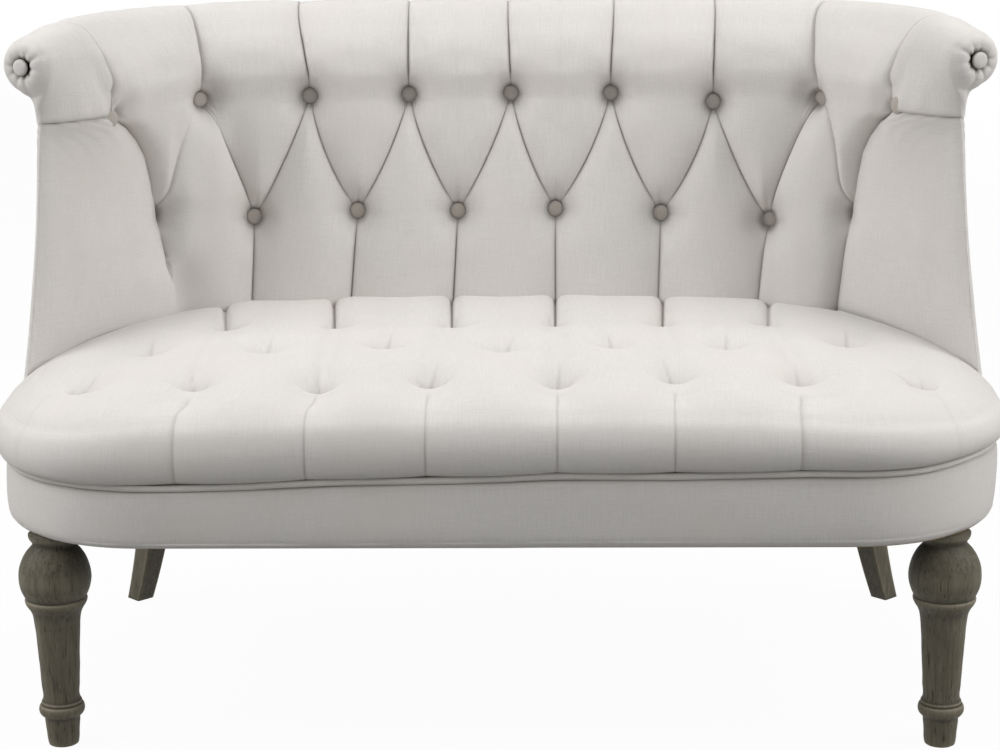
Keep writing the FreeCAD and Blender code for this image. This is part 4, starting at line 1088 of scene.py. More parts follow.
    def marks(self, along: Array, height: Array) -> Array:
        """Short drag folds that run out of each button.

        Args:
            along: distances along the back.
            height: heights above the floor.

        Returns:
            Their depth at each place, as a negative height.
        """
        total = np.zeros(along.shape)
        chance = np.random.default_rng(5)
        for _, _, place, row in self.buttons():
            angles, depth = ((0.0, 180.0, 90.0), 0.0027) if row < 0.6 else ((-8.0, 188.0), 0.0017)
            for angle in angles:
                turn = math.radians(angle + chance.uniform(-6.0, 6.0))
                length = chance.uniform(0.026, 0.040) * (0.8 if angle == 90.0 else 1.0)
                run, off = turned_to(along - place, height - row, turn)
                total = total - (depth * held((run - 0.010) / 0.004) * hump(np.maximum(run, 0.0), length)
                    * hump(off, 0.0026))
        return total

    def ring(self, column: Array, lines: Creases) -> tuple[Array, Array, Array]:
        """The face, the roll, the underside and the rear of the back.

        Args:
            column: columns of the mesh.
            lines: its crease lines.

        Returns:
            Points, cloth measures and shares of painted shade, each row a line along the back.
        """
        fold_at = self.fold_height(column)
        lower = mixed(PLAN.cushion_base, fold_at, close_to_last(self.lower_rows)[:, None])
        upper = mixed(fold_at, PLAN.neck, (1.0 - close_to_last(self.upper_rows)[::-1])[1:, None])
        along, height = self.placed(column, np.vstack([lower, upper]))
        stand, painted_shade = self.stand(along, height, lines)
        face = PLAN.tub(height, along, -stand)
        below = PLAN.neck - 0.010
        stand_below, _ = self.stand(self.placed(column, below)[0], np.full(column.shape, below), lines)
        at_row = along[-1]
        roll, pleat = self.roll(column, at_row, -stand[-1], -stand_below, below)
        rear_up = np.linspace(PLAN.neck - 0.001, PLAN.cushion_base, 9)[:, None]
        at_top = self.drifted(column, np.ones((1, 1)))
        rear_along = mixed(PLAN.along(rear_up, column), at_top, ease((rear_up - 0.70) / 0.02))
        rear = PLAN.tub(rear_up, rear_along, 0.024, True)
        points = np.concatenate([face, roll[1:], rear])
        # Painted shade of the face and of the roll's pleats; none on the rear.
        tucked = np.vstack([painted_shade, pleat[1:], np.zeros(rear.shape[:2])])
        return points, joined(at_row, travelled(points)), tucked

    def roll(self, column: Array, along: Array, foot: Array, foot_below: Array,
             below: float) -> tuple[Array, Array]:
        """The roll over the columns of the back.

        Args:
            column: columns of the mesh.
            along: distance of each column along the back.
            foot: where the face ends, behind the button line.
            foot_below: the same a little lower, for its slope.
            below: that lower height.

        Returns:
            Points from the face's top over the roll to its outer foot, and shares of painted shade.
        """
        away, felt, sign = self.pleat_distance(along)
        full = 1.0 - (1.0 - held(felt / 0.062)) ** 2
        pad = 0.72 * full + 0.28 * (1.0 - dying(felt, 0.0055))
        near = hump(3.5 - np.abs(column), 0.10)
        drop = 0.003 * held((np.abs(along) - PLAN.flat_half) / (0.582 - PLAN.flat_half))
        knots = [joined(foot_below, below + 0.0 * along), joined(foot, PLAN.neck + 0.0 * along)]
        for height, pleat, full_pad, sag, ease_off in self.roll_knots:
            height = height - (0.781 - PLAN.roll_z) * np.interp(height, [0.75, 0.80], [0.4, 1.0])
            knots.append(joined(mixed(pleat + ease_off * near, full_pad, pad), height - sag * (1.0 - pad)
                - drop))
        radius = PLAN.roll_radius - 0.0016 * (1.0 - pad)
        for angle in ROUND_OVER:
            knots.append(joined(PLAN.roll_offset + radius * math.cos(angle), PLAN.roll_z
                + radius * math.sin(angle) - drop))
        knots.append(joined(0.0534, PLAN.roll_z - PLAN.roll_radius - drop + 0.0005))
        knots.append(joined(0.0532, PLAN.neck + 0.0 * along))
        knots = np.stack(knots)
        share = shares(self.roll_rows + 1)
        line = curve_through(knots, 1.0 + (len(knots) - 2.0) * share)
        share = share[:, None]
        across, up = self.pleated(line, share, away, sign)
        points = PLAN.tub(up, self.drifted(column, share), across, True)
        fade = np.interp(share, [0.0, 0.30, 0.62, 0.85, 1.0], [0.9, 0.6, 0.4, 0.3, 0.2])
        # Painted shade along each pleat, fading over the roll and strongest at the corner pleats.
        painted_shade = (0.75 + 0.25 * near) * dying(away, 0.0013 + 0.0014 * near) * (fade + (1.0 - fade) * near)
        return points, painted_shade

    def drifted(self, column: Array, share: Array) -> Array:
        """Distance along the back of each column, share of the way round the roll.

        Args:
            column: columns, counted in buttons from the middle.
            share: shares of the way round.

        Returns:
            The distances.
        """
        columns = [entry[0] for entry in self.top_shift]
        foot = self.placed(column, PLAN.neck)[0]
        top = PLAN.along(PLAN.neck, column)
        top = top + np.interp(column, columns, np.array(self.roll_shift) * 0.001)
        return mixed(foot, top, np.sin(held(share / 0.42) * math.pi / 2.0))

    def pleat_distance(self, along: Array) -> tuple[Array, Array, Array]:
        """Distance of each column from the nearest pleat, a smoother one, and the side.

        Args:
            along: distances along the back.

        Returns:
            Both distances and 1 or -1 for the side.
        """
        away = np.stack([along - float(self.placed(side * column, PLAN.neck)[0])
            for column in self.top_columns for side in (-1.0, 1.0)])
        nearest = np.abs(away).min(axis=0)
        felt = ((np.abs(away) + 0.0004) ** -4.0).sum(axis=0) ** -0.25
        chosen = np.take_along_axis(away, np.abs(away).argmin(axis=0)[None], axis=0)[0]
        outer = np.where(np.abs(along) < 0.02, chosen, chosen * np.sign(along))
        return nearest, felt, outer

    def pleated(self, line: Array, share: Array, away: Array, sign: Array) -> tuple[Array, Array]:
        """The roll's line with its pleats laid over to one side.

        Args:
            line: points (behind the button line, height) of shape (rows, columns, 2).
            share: how far round the roll each row is.
            away: each column's distance from its pleat.
            sign: which side of the pleat it is on.

        Returns:
            The distances behind the button line and the heights.
        """
        fade = np.interp(share, [0.0, 0.08, 0.45, 0.8, 1.0], [0.5, 1.0, 0.75, 0.35, 0.0])
        lap = 0.0016 * dying(away, 0.007) * np.where(sign > 1e-7, 1.0, -0.4)
        groove = -0.0026 * dying(away, 0.0014)
        uneven = 0.0006 * ripple(sign * 4.0, share * 0.23, 23, 0.12)
        lifted = line + beside(line) * ((lap + groove + uneven) * fade)[..., None]
        return lifted[..., 0], lifted[..., 1]

    def roll_end(self, side: float, ring: Array) -> list[Grid]:
        """The roll's end over one wing, and its gathered face.

        Args:
            side: -1 for the left or 1 for the right.
            ring: the roll's line over the corner pleat, on that side.

        Returns:
            The sheets of the flaring end and of its face.
        """
        corner = float(PLAN.crease(PLAN.row_1))
        start = PLAN.roll_corner(PLAN.neck)
        axis, end_out = self.end_axes()
        end = np.array([*self.end_centre, 0.0])
        share = 1.0 - close_to_last(self.end_steps, 0.8)[::-1]
        centre = start + (end - start) * share[:, None]
        centre[:, 2] = mixed(PLAN.roll_z - 0.003, self.end_height, ease(share))
        out = unit(mixed(np.array([1.0, 0.0, 0.0]), end_out, ease(share)[:, None]))
        ahead = joined(out[:, 1], -out[:, 0], 0.0)
        radius = mixed(PLAN.roll_radius - 0.001, self.end_radius, share)
        front, nose = self._wing_top()
        low = joined(*(np.interp(share, shares(len(front)), part) for part in front.T))
        heel = mixed(ring[-1], nose[-1], share[:, None])
        (inner, inner_ahead), (outer, outer_ahead) = ([((place - centre) * way).sum(axis=1)
            for way in (out, ahead)] for place in (low, heel))
        drop = mixed(PLAN.neck, nose[-1, 2], ease((share - 0.4) / 0.5))
        line = self._end_line(radius, inner, outer, centre[:, 2], drop)
        start_line = joined(ring[:, 0] - start[0], ring[:, 2])
        line = mixed(line, start_line[:, None, :], (1.0 - ease(share / 0.25))[None, :, None])
        away = share * np.linalg.norm(end[:2] - start[:2])
        proud = dying(away, 0.030) * ease(away / 0.0015)
        rows = shares(len(line))[:, None]
        pucker = dying(rows, 0.09) * np.sin(away * math.tau / 0.019 + 0.8) * 0.0011
        pucker = pucker * held(away / 0.02) * held(rows / 0.03)
        over = 0.0075 * np.interp(rows, [0.0, 0.06, 0.20, 0.42, 0.62, 1.0], [0.1, 0.35, 1.0, 0.9, 0.25, 0.0])
        line = line + beside(line) * (over * proud + pucker)[..., None]
        lean = inner_ahead * (1.0 - ease(rows / 0.22)) + outer_ahead * ease((rows - 0.80) / 0.20)
        lean = lean * ease(share / 0.12)
        hang = 0.0038 * hump(away - 0.0034, 0.0030) * over / 0.0075
        points = centre * FLAT + out * line[..., :1] + ahead * lean[..., None] - axis * hang[..., None]
        points[..., 2] = line[..., 1]
        points[:, 0] = ring
        neck, face = self._end_sheets(points[:, -1], nose, np.array([end[0], end[1], centre[-1, 2]]), axis,
            end_out)
        cloth = joined(corner + away, travelled(ring)[:, None])
        fade = np.interp(rows, [0.0, 0.06, 0.7, 1.0], [0.5, 1.0, 1.0, 0.0])
        # Painted shade along the corner pleat and along the end's foot by the facing.
        painted_shade = hump(away, 0.0026, 4) * fade + 0.6 * dying(rows, 0.012)
        flip = mirror(side)
        # Painted shade in the middle of the end's gathered face.
        face_shade = np.zeros(face.shape[:2])
        face_shade[:, -4:] = np.array([0.25, 0.5, 0.8, 1.0])
        sheets = [Grid(points * flip, cloth, (points - centre) * flip, held(painted_shade))]
        for sheet, tucked, closed in ((neck, np.zeros(neck.shape[:2]), False), (face, face_shade, True)):
            flat = joined(sheet @ end_out + corner, sheet[..., 2])
            sheets.append(Grid(sheet * flip, flat, axis * flip, tucked, round_rows=closed))
        return sheets

    def end_axes(self) -> tuple[Array, Array]:
        """Direction out of the right end of the roll, and level across it."""
        axis = unit((np.array([*self.end_centre, 0.0]) - PLAN.roll_corner()) * FLAT)
        return axis, np.array([-axis[1], axis[0], 0.0])

    def _wing_top(self) -> tuple[Array, Array]:
        """The wing facing's upper edge at the seam: its face, and then round its nose.

        Returns:
            The two lines.
        """
        height = np.array([PLAN.seam - 0.0015])
        knots = WingFacing(1.0, "wing").knots(height)
        lines = []
        for low, high, count in ((2.0, 13.0, 60), (13.0, 17.0, 20)):
            line = curve_through(knots, np.linspace(low, high, count + 1))[:, 0]
            run = unit(np.gradient(line, axis=0))
            lines.append(line + joined(run[:, 1], -run[:, 0], 0.0) * 0.0012)
        lines[1][0] = lines[0][-1]
        return lines[0], lines[1]

    def _end_sheets(self, ring: Array, nose: Array, centre: Array, axis: Array,
                    out: Array) -> tuple[Array, Array]:
        """The sheet round the neck under the roll's end, and the end's gathered face.

        Args:
            ring: the roll's last line, from the facing's edge over the roll to its outer side.
            nose: the facing's edge round the wing's nose.
            centre: the middle of the end.
            axis: the direction out of the end.
            out: the direction across it.

        Returns:
            Two grids of points.
        """
        arm = ring - centre
        across, up = arm @ out, arm[:, 2]
        top = int(np.argmax(up))
        first = int(np.argmax(up > -0.62 * self.end_radius))
        last = top + int(np.argmax(up[top:] < -0.90 * self.end_radius))
        rows = max(first, len(ring) - 1 - last)
        first, last = rows, len(ring) - 1 - rows
        inner, outer = ring[:first + 1], ring[last:][::-1]
        count = len(nose) - 1
        angle = np.unwrap(np.arctan2(up, across))
        turn = np.linspace(angle[first] % math.tau, angle[last] % math.tau, count + 1)
        reach = np.linspace(*(math.hypot(across[row], up[row]) for row in (first, last)), count + 1)
        arc = around(centre, turn, reach, out)
        forward = np.linspace((inner[-1] - centre) @ axis, (outer[-1] - centre) @ axis, count + 1)
        arc = arc + np.outer(forward, axis)
        arc[0], arc[-1] = inner[-1], outer[-1]
        bottom = nose.copy()
        bottom[0], bottom[-1] = inner[0], outer[0]
        s, t = shares(count + 1)[None, :, None], shares(rows + 1)[:, None, None]
        neck = mixed(bottom[None], arc[None], t) + mixed(inner[:, None], outer[:, None], s)
        neck = neck - mixed(mixed(bottom[0], bottom[-1], s), mixed(arc[0], arc[-1], s), t)
        neck = neck + axis * 0.006 * np.sin(math.pi * s) * np.sin(math.pi * t)
        closed = np.concatenate([ring[first:last + 1], arc[-2:0:-1]])
        arm = closed - centre
        ahead = np.outer(arm @ axis, axis)
        across, up = arm @ out, arm[:, 2]
        angle = np.unwrap(np.arctan2(up, across))
        even = np.linspace(angle[0], angle[0] - math.tau, len(angle) + 1)[:-1]
        reach = (0.0, 0.0050, 0.0090, 0.0118, 0.0132, 0.0130, 0.0116, 0.0096, 0.0074, 0.0054, 0.0034)
        size = (1.0, 0.975, 0.90, 0.79, 0.66, 0.54, 0.44, 0.37, 0.32, 0.28, 0.25)
        rings = []
        for step, (forward, part) in enumerate(zip(reach, size)):
            towards = ease(step / 3.0)
            turn = mixed(angle, even, towards)
            base = mixed(np.hypot(across, up), self.end_radius, towards) * part
            rings.append(around(centre, turn, base, out) + forward * axis + ahead * (1.0 - towards))
        return neck, np.stack(rings, axis=1)

    def even(self, line: Array) -> Array:
        """A line's points spread evenly along it."""
        gone = travelled(line)
        return joined(*(np.interp(gone[-1] * shares(self.roll_rows + 1), gone, part) for part in line.T))

    def _end_line(self, radius: Array, inner: Array, outer: Array, high: Array,
                  drop: Array) -> Array:
        """The roll's line round its end, from the facing's edge to the outer side.

        Args:
            radius: the roll's radius at each station.
            inner: the inner foot's distance from the roll's middle.
            outer: the outer foot's distance.
            high: height of the roll's middle.
            drop: height of the outer foot.

        Returns:
            Points (across, height) of shape (rows, columns, 2).
        """
        seam = PLAN.seam
        low = [(inner + 0.0004, seam - 0.008), (inner, seam - 0.0015)]
        for part, lift in ((0.10, 0.16), (0.42, 0.40), (0.84, 0.68)):
            low.append((mixed(inner, -1.02 * radius, part), mixed(seam, high, lift)))
        for part, lift in ((-1.02, -0.08), (-1.0, 0.16), (-0.93, 0.38), (-0.76, 0.66), (-0.44, 0.90),
                           (0.0, 1.0)):
            low.append((part * radius, high + lift * radius))
        low += [(radius * math.cos(angle), high + radius * math.sin(angle)) for angle in ROUND_OVER]
        low += [(mixed(outer, 0.0, 0.4), high - 0.99 * radius), (outer, mixed(drop, high - radius, 0.55)),
            (outer, drop), (outer, drop - 0.010)]
        knots = np.stack([joined(across, up) for across, up in low])
        dense = curve_through(knots, 1.0 + (len(knots) - 3.0) * shares(161))
        return np.stack([self.even(line) for line in dense.swapaxes(0, 1)], axis=1)

    def gather(self, piece: bpy.types.Object) -> None:
        """Let the cloth settle round both ends of the roll, and draw it into folds there.

        Args:
            piece: the finished back.
        """
        mesh = piece.data
        count = len(mesh.vertices)
        points, normals = np.empty(count * 3), np.empty(count * 3)
        mesh.vertices.foreach_get("co", points)
        points = points.reshape(-1, 3)
        pairs = np.empty(len(mesh.edges) * 2, dtype=np.int64)
        mesh.edges.foreach_get("vertices", pairs)
        pairs = pairs.reshape(-1, 2)
        middle = np.array([*self.end_centre, self.end_height])
        arm = joined(np.abs(points[:, 0]), points[:, 1], points[:, 2]) - middle
        reach = lengths(arm * np.array([1.0, 1.0, 0.7]))
        loose = hump(reach, 0.046, 4) * ease((reach - 0.011) / 0.006)
        loose = loose * ease((points[:, 2] - PLAN.seam - 0.001) / 0.006)
        loose = np.where(loose > 0.01, loose, 0.0)
        used = pairs[(loose[pairs] > 0.0).any(axis=1)]
        degree = np.maximum(np.bincount(used.ravel(), minlength=count), 1)[:, None]
        for _ in range(16):
            mesh.vertices.foreach_set("co", points.ravel())
            mesh.update()
            mesh.vertices.foreach_get("normal", normals)
            out = normals.reshape(-1, 3)
            total = np.zeros_like(points)
            for part in range(3):
                total[:, part] = (np.bincount(used[:, 0], points[used[:, 1], part], count)
                    + np.bincount(used[:, 1], points[used[:, 0], part], count))
            step = ((total / degree - points) * out).sum(axis=1) * 0.8 * loose
            points = points + out * step[:, None]
        axis, out = self.end_axes()
        arm = joined(np.abs(points[:, 0]), points[:, 1], points[:, 2]) - middle
        across, up = arm @ out, arm[:, 2]
        spread, turn = np.hypot(across, up), np.degrees(np.arctan2(up, across))
        near = ease((arm @ axis + 0.030) / 0.022) * (spread < 0.050)
        depth = np.zeros(count)
        for angle, length, deep in ((150.0, 0.024, 3.2), (118.0, 0.014, 2.0), (84.0, 0.012, 1.3),
                                    (40.0, 0.015, 1.6), (4.0, 0.020, 2.0), (-32.0, 0.015, 1.5),
                                    (-70.0, 0.022, 2.2), (-104.0, 0.030, 3.0), (-142.0, 0.016, 1.6),
                                    (-172.0, 0.018, 1.8)):
            off = np.radians((turn - angle + 180.0) % 360.0 - 180.0) * spread
            depth += (0.001 * deep * hump(off, 0.0021) * ease((spread - 0.0075) / 0.003)
                * hump(spread - 0.0075, length))
        points = points - normals.reshape(-1, 3) * (depth * near)[:, None]
        mesh.vertices.foreach_set("co", points.ravel())
        mesh.update()

    def build(self) -> bpy.types.Object:
        """The back and its roll as one sewn piece.

        Returns:
            The finished piece.
        """
        lines = self.creases()
        column = self.columns()
        points, cloth, painted_shade = self.ring(column, lines)
        face_rows = self.lower_rows + self.upper_rows + 1
        along = PLAN.along(np.full(column.shape, 0.7), column)
        inward = PLAN.tub(0.7, along, -1.0) - PLAN.tub(0.7, along, 0.0)
        outward = np.broadcast_to(inward, points.shape).copy()
        outward[face_rows:] = 0.0
        grids = [Grid(points, cloth, outward, painted_shade, round_rows=True)]
        for side, index in ((1.0, -1), (-1.0, 0)):
            column_points = points[:face_rows + self.roll_rows, index] * mirror(side)
            first = int(np.searchsorted(column_points[:face_rows, 2], PLAN.seam))
            grids += self.roll_end(side, self.even(column_points[first:]))
            edge = points[:face_rows, index]
            wall = np.stack([edge - inward[index] * deep for deep in (0.0, 0.012, 0.024)], axis=1)
            shade = np.repeat(PLAN.sunk(edge[:, 2], side)[:, None], 3, axis=1)
            grids.append(Grid(wall, wall[..., 1:], np.array([side, 0.0, 0.0]), shade))
        piece = Sewing.make("buttoned_back", grids)
        self.gather(piece)
        dressed(piece, COVER, "linen", "inside_back", "top_roll")
        return piece


@dataclass
class CoveredButton:
    """A button covered in linen, with the cloth drawn smooth over its crown."""

    radius: float = 0.0113
    thickness: float = 0.0078
    sides: int = 36

    def grid(self, root: Array, out: Array) -> Grid:
        """A crowned disc.

        Args:
            root: the middle of its underside.
            out: the direction into the padding; the crown faces the other way.

        Returns:
            Its surface.
        """
        face = -unit(np.asarray(out, dtype=float))
        across = unit(np.cross(face, UP))
        up = np.cross(across, face)
        profile = ((0.30, 0.02), (0.80, 0.02), (0.94, 0.10), (0.995, 0.26), (1.0, 0.42), (0.975, 0.58),
            (0.90, 0.74), (0.76, 0.87), (0.56, 0.95), (0.34, 0.985), (0.14, 1.0), (0.004, 1.0))
        turn = np.linspace(0.0, math.tau, self.sides, endpoint=False)
        rows, cloth = [], []
        for step, (wide, rise) in enumerate(profile):
            crimp = 1.0 + 0.010 * np.cos(turn * 14.0) * max(0.0, 1.0 - abs(step - 4) / 3.0)
            radius = self.radius * wide * crimp
            rows.append(around(root, turn, radius, across, up) + face * (self.thickness * rise))
            cloth.append(joined(np.cos(turn), np.sin(turn)) * radius[:, None] * 1.3 + root[[0, 2]])
        points = np.stack(rows)
        # Painted shade: the button's sides are darkened and only its crown is left pale.
        painted_shade = np.interp([rise for _, rise in profile], [0.0, 0.45, 0.80], [1.0, 0.9, 0.0])
        outward = points - (root + face * self.thickness * 0.5)
        return Grid(points, np.stack(cloth), outward, np.outer(painted_shade, np.ones(self.sides)), round_columns=True)


@dataclass
class Buttons:
    """The covered buttons of the back and the small ones on the roll's ends."""

    back: ButtonedBack
    large: CoveredButton = field(default_factory=CoveredButton)
    small: CoveredButton = field(default_factory=lambda: CoveredButton(0.0100, 0.0070))

    def build(self) -> list[bpy.types.Object]:
        """Both sets of buttons.

        Returns:
            The two pieces.
        """
        grids = [self.large.grid(root, out) for root, out, _, _ in self.back.buttons()]
        large = Sewing.make("covered_buttons", grids, 0.0)
        dressed(large, TAUPE_SHADED_BUTTON, "button_linen", "back_buttons")
        axis, _ = self.back.end_axes()
        root = np.array([*self.back.end_centre, PLAN.roll_z - 0.006]) + axis * 0.0072
        ends = [self.small.grid(root * mirror(side), -axis * mirror(side)) for side in (-1.0, 1.0)]
        small = Sewing.make("roll_buttons", ends, 0.0)
        dressed(small, COVER, "button_linen", "roll_end_buttons")
        return [large, small]


# Smooth facings of the wings and the outside panel

@dataclass
class WingFacing:
    """The smooth cover of one wing, from the crease round the nose to the outside panel."""

    side: float
    name: str
    rows: int = 70
    crown: float = 0.009

    def path(self, height: Array) -> Array:
        """The facing's face at each height, from the crease to the front edge.

        Args:
            height: heights above the floor.

        Returns:
            Points of shape (41, heights, 3), evenly spaced and without the crown.
        """
        share = shares(41)[:, None]
        first, last = PLAN.crease(height), PLAN.corner(height)
        last = np.maximum(first, last)
        far, edge = PLAN.tub(height, last, 0.0), PLAN.wing_edge(height)
        chord = lengths(edge - far)
        gone = share * (last - first + chord)
        bend = PLAN.tub(height, first + np.minimum(gone, last - first), 0.0)
        straight = far + (edge - far) * held((gone - last + first) / chord)[..., None]
        points = np.where((gone < last - first)[..., None], bend, straight)
        for _ in range(16):
            points[1:-1] = points[1:-1] * 0.5 + (points[:-2] + points[2:]) * 0.25
        return points

    def knots(self, height: Array) -> Array:
        """Plan of the facing at each height, of shape (knots, heights, 3).

        Args:
            height: heights above the floor.

        Returns:
            The knots.
        """
        path = self.path(height)
        start, edge = path[0], path[-1]
        along = PLAN.crease(height)
        deep = unit(PLAN.tub(height, along, 1.0) - PLAN.tub(height, along, 0.0))
        run = unit((edge - path[30]) * FLAT)
        outer = edge + np.array([0.002, 0.026, 0.0])
        inner = outer - np.array([0.0083, 0.0, 0.0])
        nose = (edge + outer) / 2.0 + run * 0.006
        swell = np.interp(height, [PLAN.seat_level - 0.02, PLAN.seat_level + 0.09], [0.0, self.crown])
        raised = 0.0095 * (1.0 - PLAN.sunk(height, self.side)) * ease((height - PLAN.pad_start) / 0.015)
        tangent = unit(np.gradient(path, axis=0) * FLAT)
        behind = joined(-tangent[..., 1], tangent[..., 0], 0.0)
        start = start - deep * (raised - 0.0016)[:, None] + unit(path[0] - path[1]) * 0.004
        ring = [start + deep * 0.016, start + deep * 0.005, start]
        for step in (1, 3, 6, 10, 15, 20, 25, 30, 35, 39):
            bow = swell * (1.0 - (step / 20.0 - 1.0) ** 2) ** 0.7 + raised * math.exp(-(step / 14.0) ** 2)
            ring.append(path[step] - behind[step] * bow[:, None])
        ring += [edge, mixed(edge, nose, 0.62) + run * 0.0015, nose, mixed(outer, nose, 0.62)
            + run * 0.0008, outer, inner, mixed(inner, ring[0], 0.3), mixed(inner, ring[0], 0.7)]
        return np.stack(ring)

    def build(self) -> bpy.types.Object:
        """The facing as a closed, softly crowned form.

        Returns:
            The finished piece.
        """
        height = np.linspace(PLAN.cushion_base, PLAN.seam + 0.004, self.rows + 1)
        knots = self.knots(height)
        places = np.concatenate([[0.0, 1.0, 1.5], np.linspace(2.0, 5.0, 24)[:-1],
            np.linspace(5.0, 13.0, 50), np.linspace(13.15, 16.0, 18), np.linspace(16.2, 17.0, 4),
            [18.0, 19.0, 20.0]])
        points = curve_through(knots, places)
        across = lengths(points - points[3])
        face = ((places >= 2.0) & (places <= 16.0)).astype(float)[:, None]
        up = points[..., 2]
        outward = unit(np.cross(np.gradient(points, axis=0), np.gradient(points, axis=1)))
        middle = (knots[0] + knots[17]) / 2.0
        outward = outward * np.sign((outward * (points - middle)).sum())
        drag = ripple(across / across[75] * 0.5, up, 31, 0.16) * 0.0009
        to_seam = np.abs(PLAN.seam - up)
        pucker = dying(to_seam, 0.022) * np.sin(across * math.tau / 0.024) * 0.0010
        pull = -0.0035 * hump(across, 0.016) * (hump(up - PLAN.row_2, 0.030) + hump(up - PLAN.row_1, 0.026))
        lift = (drag + pucker + pull) * face * held(across / 0.004)
        lift = lift * held((up - PLAN.cushion_base - 0.11) / 0.05)
        lift = lift - 0.0015 * ease((up - PLAN.seam + 0.006) / 0.006)
        points = points + outward * lift[..., None]
        # Painted shade along the crease beside the back and along the seam at the top.
        tuck = dying(across, 0.002) * PLAN.sunk(up, self.side) + 1.2 * dying(to_seam, 0.0012)
        flip = mirror(self.side)
        grid = Grid(points * flip, joined(across + 0.9, up), (points - middle) * flip,
            held(0.7 * tuck) * face, round_rows=True)
        piece = dressed(Sewing.make(self.name + "_cover", [grid]), COVER, "linen", self.name)
        return piece


@dataclass
class OutsidePanel:
    """The outside cover of the wings and the back, in one stretched panel."""

    thickness: float = 0.008
    rows: int = 90

    def half(self, height: Array, inset: float) -> Array:
        """Right half of the panel's plan at each height, of shape (points, heights, 3).

        Args:
            height: heights above the floor.
            inset: how far it is turned in.

        Returns:
            The points.
        """
        high = np.maximum(height, PLAN.cushion_base)
        nose = PLAN.wing_edge(high) + np.array([0.002 - inset, 0.0263, 0.0])
        nose[:, 2] = height
        roll_base = PLAN.roll_z - PLAN.roll_radius
        share = held((height - PLAN.cushion_base) / (roll_base - PLAN.cushion_base))
        radius = mixed(PLAN.rear_radius, PLAN.tub_radius + PLAN.roll_offset + 0.010, share) - inset
        centre_x = mixed(PLAN.rear_centre[0], PLAN.flat_half, share)
        centre_y = mixed(PLAN.rear_centre[1], PLAN.tub_centre_y, share)
        turn = np.linspace(0.0, math.pi / 2.0, 25)[:, None]
        bend = joined(centre_x + radius * np.cos(turn), centre_y + radius * np.sin(turn), height)
        return np.concatenate([nose[None], bend])

    def build(self) -> bpy.types.Object:
        """The panel, turned in at the edges.

        Returns:
            The finished piece.
        """
        top = PLAN.roll_z - PLAN.roll_radius - 0.0016
        height = np.concatenate([[PLAN.rail_base + 0.0003],
            np.linspace(PLAN.rail_base + 0.004, PLAN.cushion_base, 14),
            np.linspace(PLAN.cushion_base + 0.012, top, self.rows - 14)])
        sheets = []
        for inset in (0.0, self.thickness):
            half = self.half(height, inset)
            right = np.concatenate([np.linspace(half[0], half[1], 17), half[2:]])
            left = right[::-1] * mirror(-1.0)
            sheets.append(np.concatenate([right, np.linspace(right[-1], left[0], 40)[1:-1], left]))
        outer, inner = sheets
        travel = travelled(outer)
        travel = travel - travel[-1] / 2.0
        lift = 0.0011 * ripple(travel, outer[..., 2], 47, 0.22) * held((height - height[0]) / 0.01) - 0.0012
        lift[:, 0] = -0.003
        outer = outer + unit(outer * FLAT) * lift[..., None]
        points = np.concatenate([outer, inner[::-1]])
        cloth = joined(np.concatenate([travel, travel[::-1]]) + 3.0, points[..., 2])
        grid = Grid(points, cloth, (points - points[::-1]) * FLAT / 2.0, round_rows=True)
        piece = dressed(Sewing.make("outside_cover", [grid]), COVER, "linen", "outside_panel")
        return piece


# Tufted seat

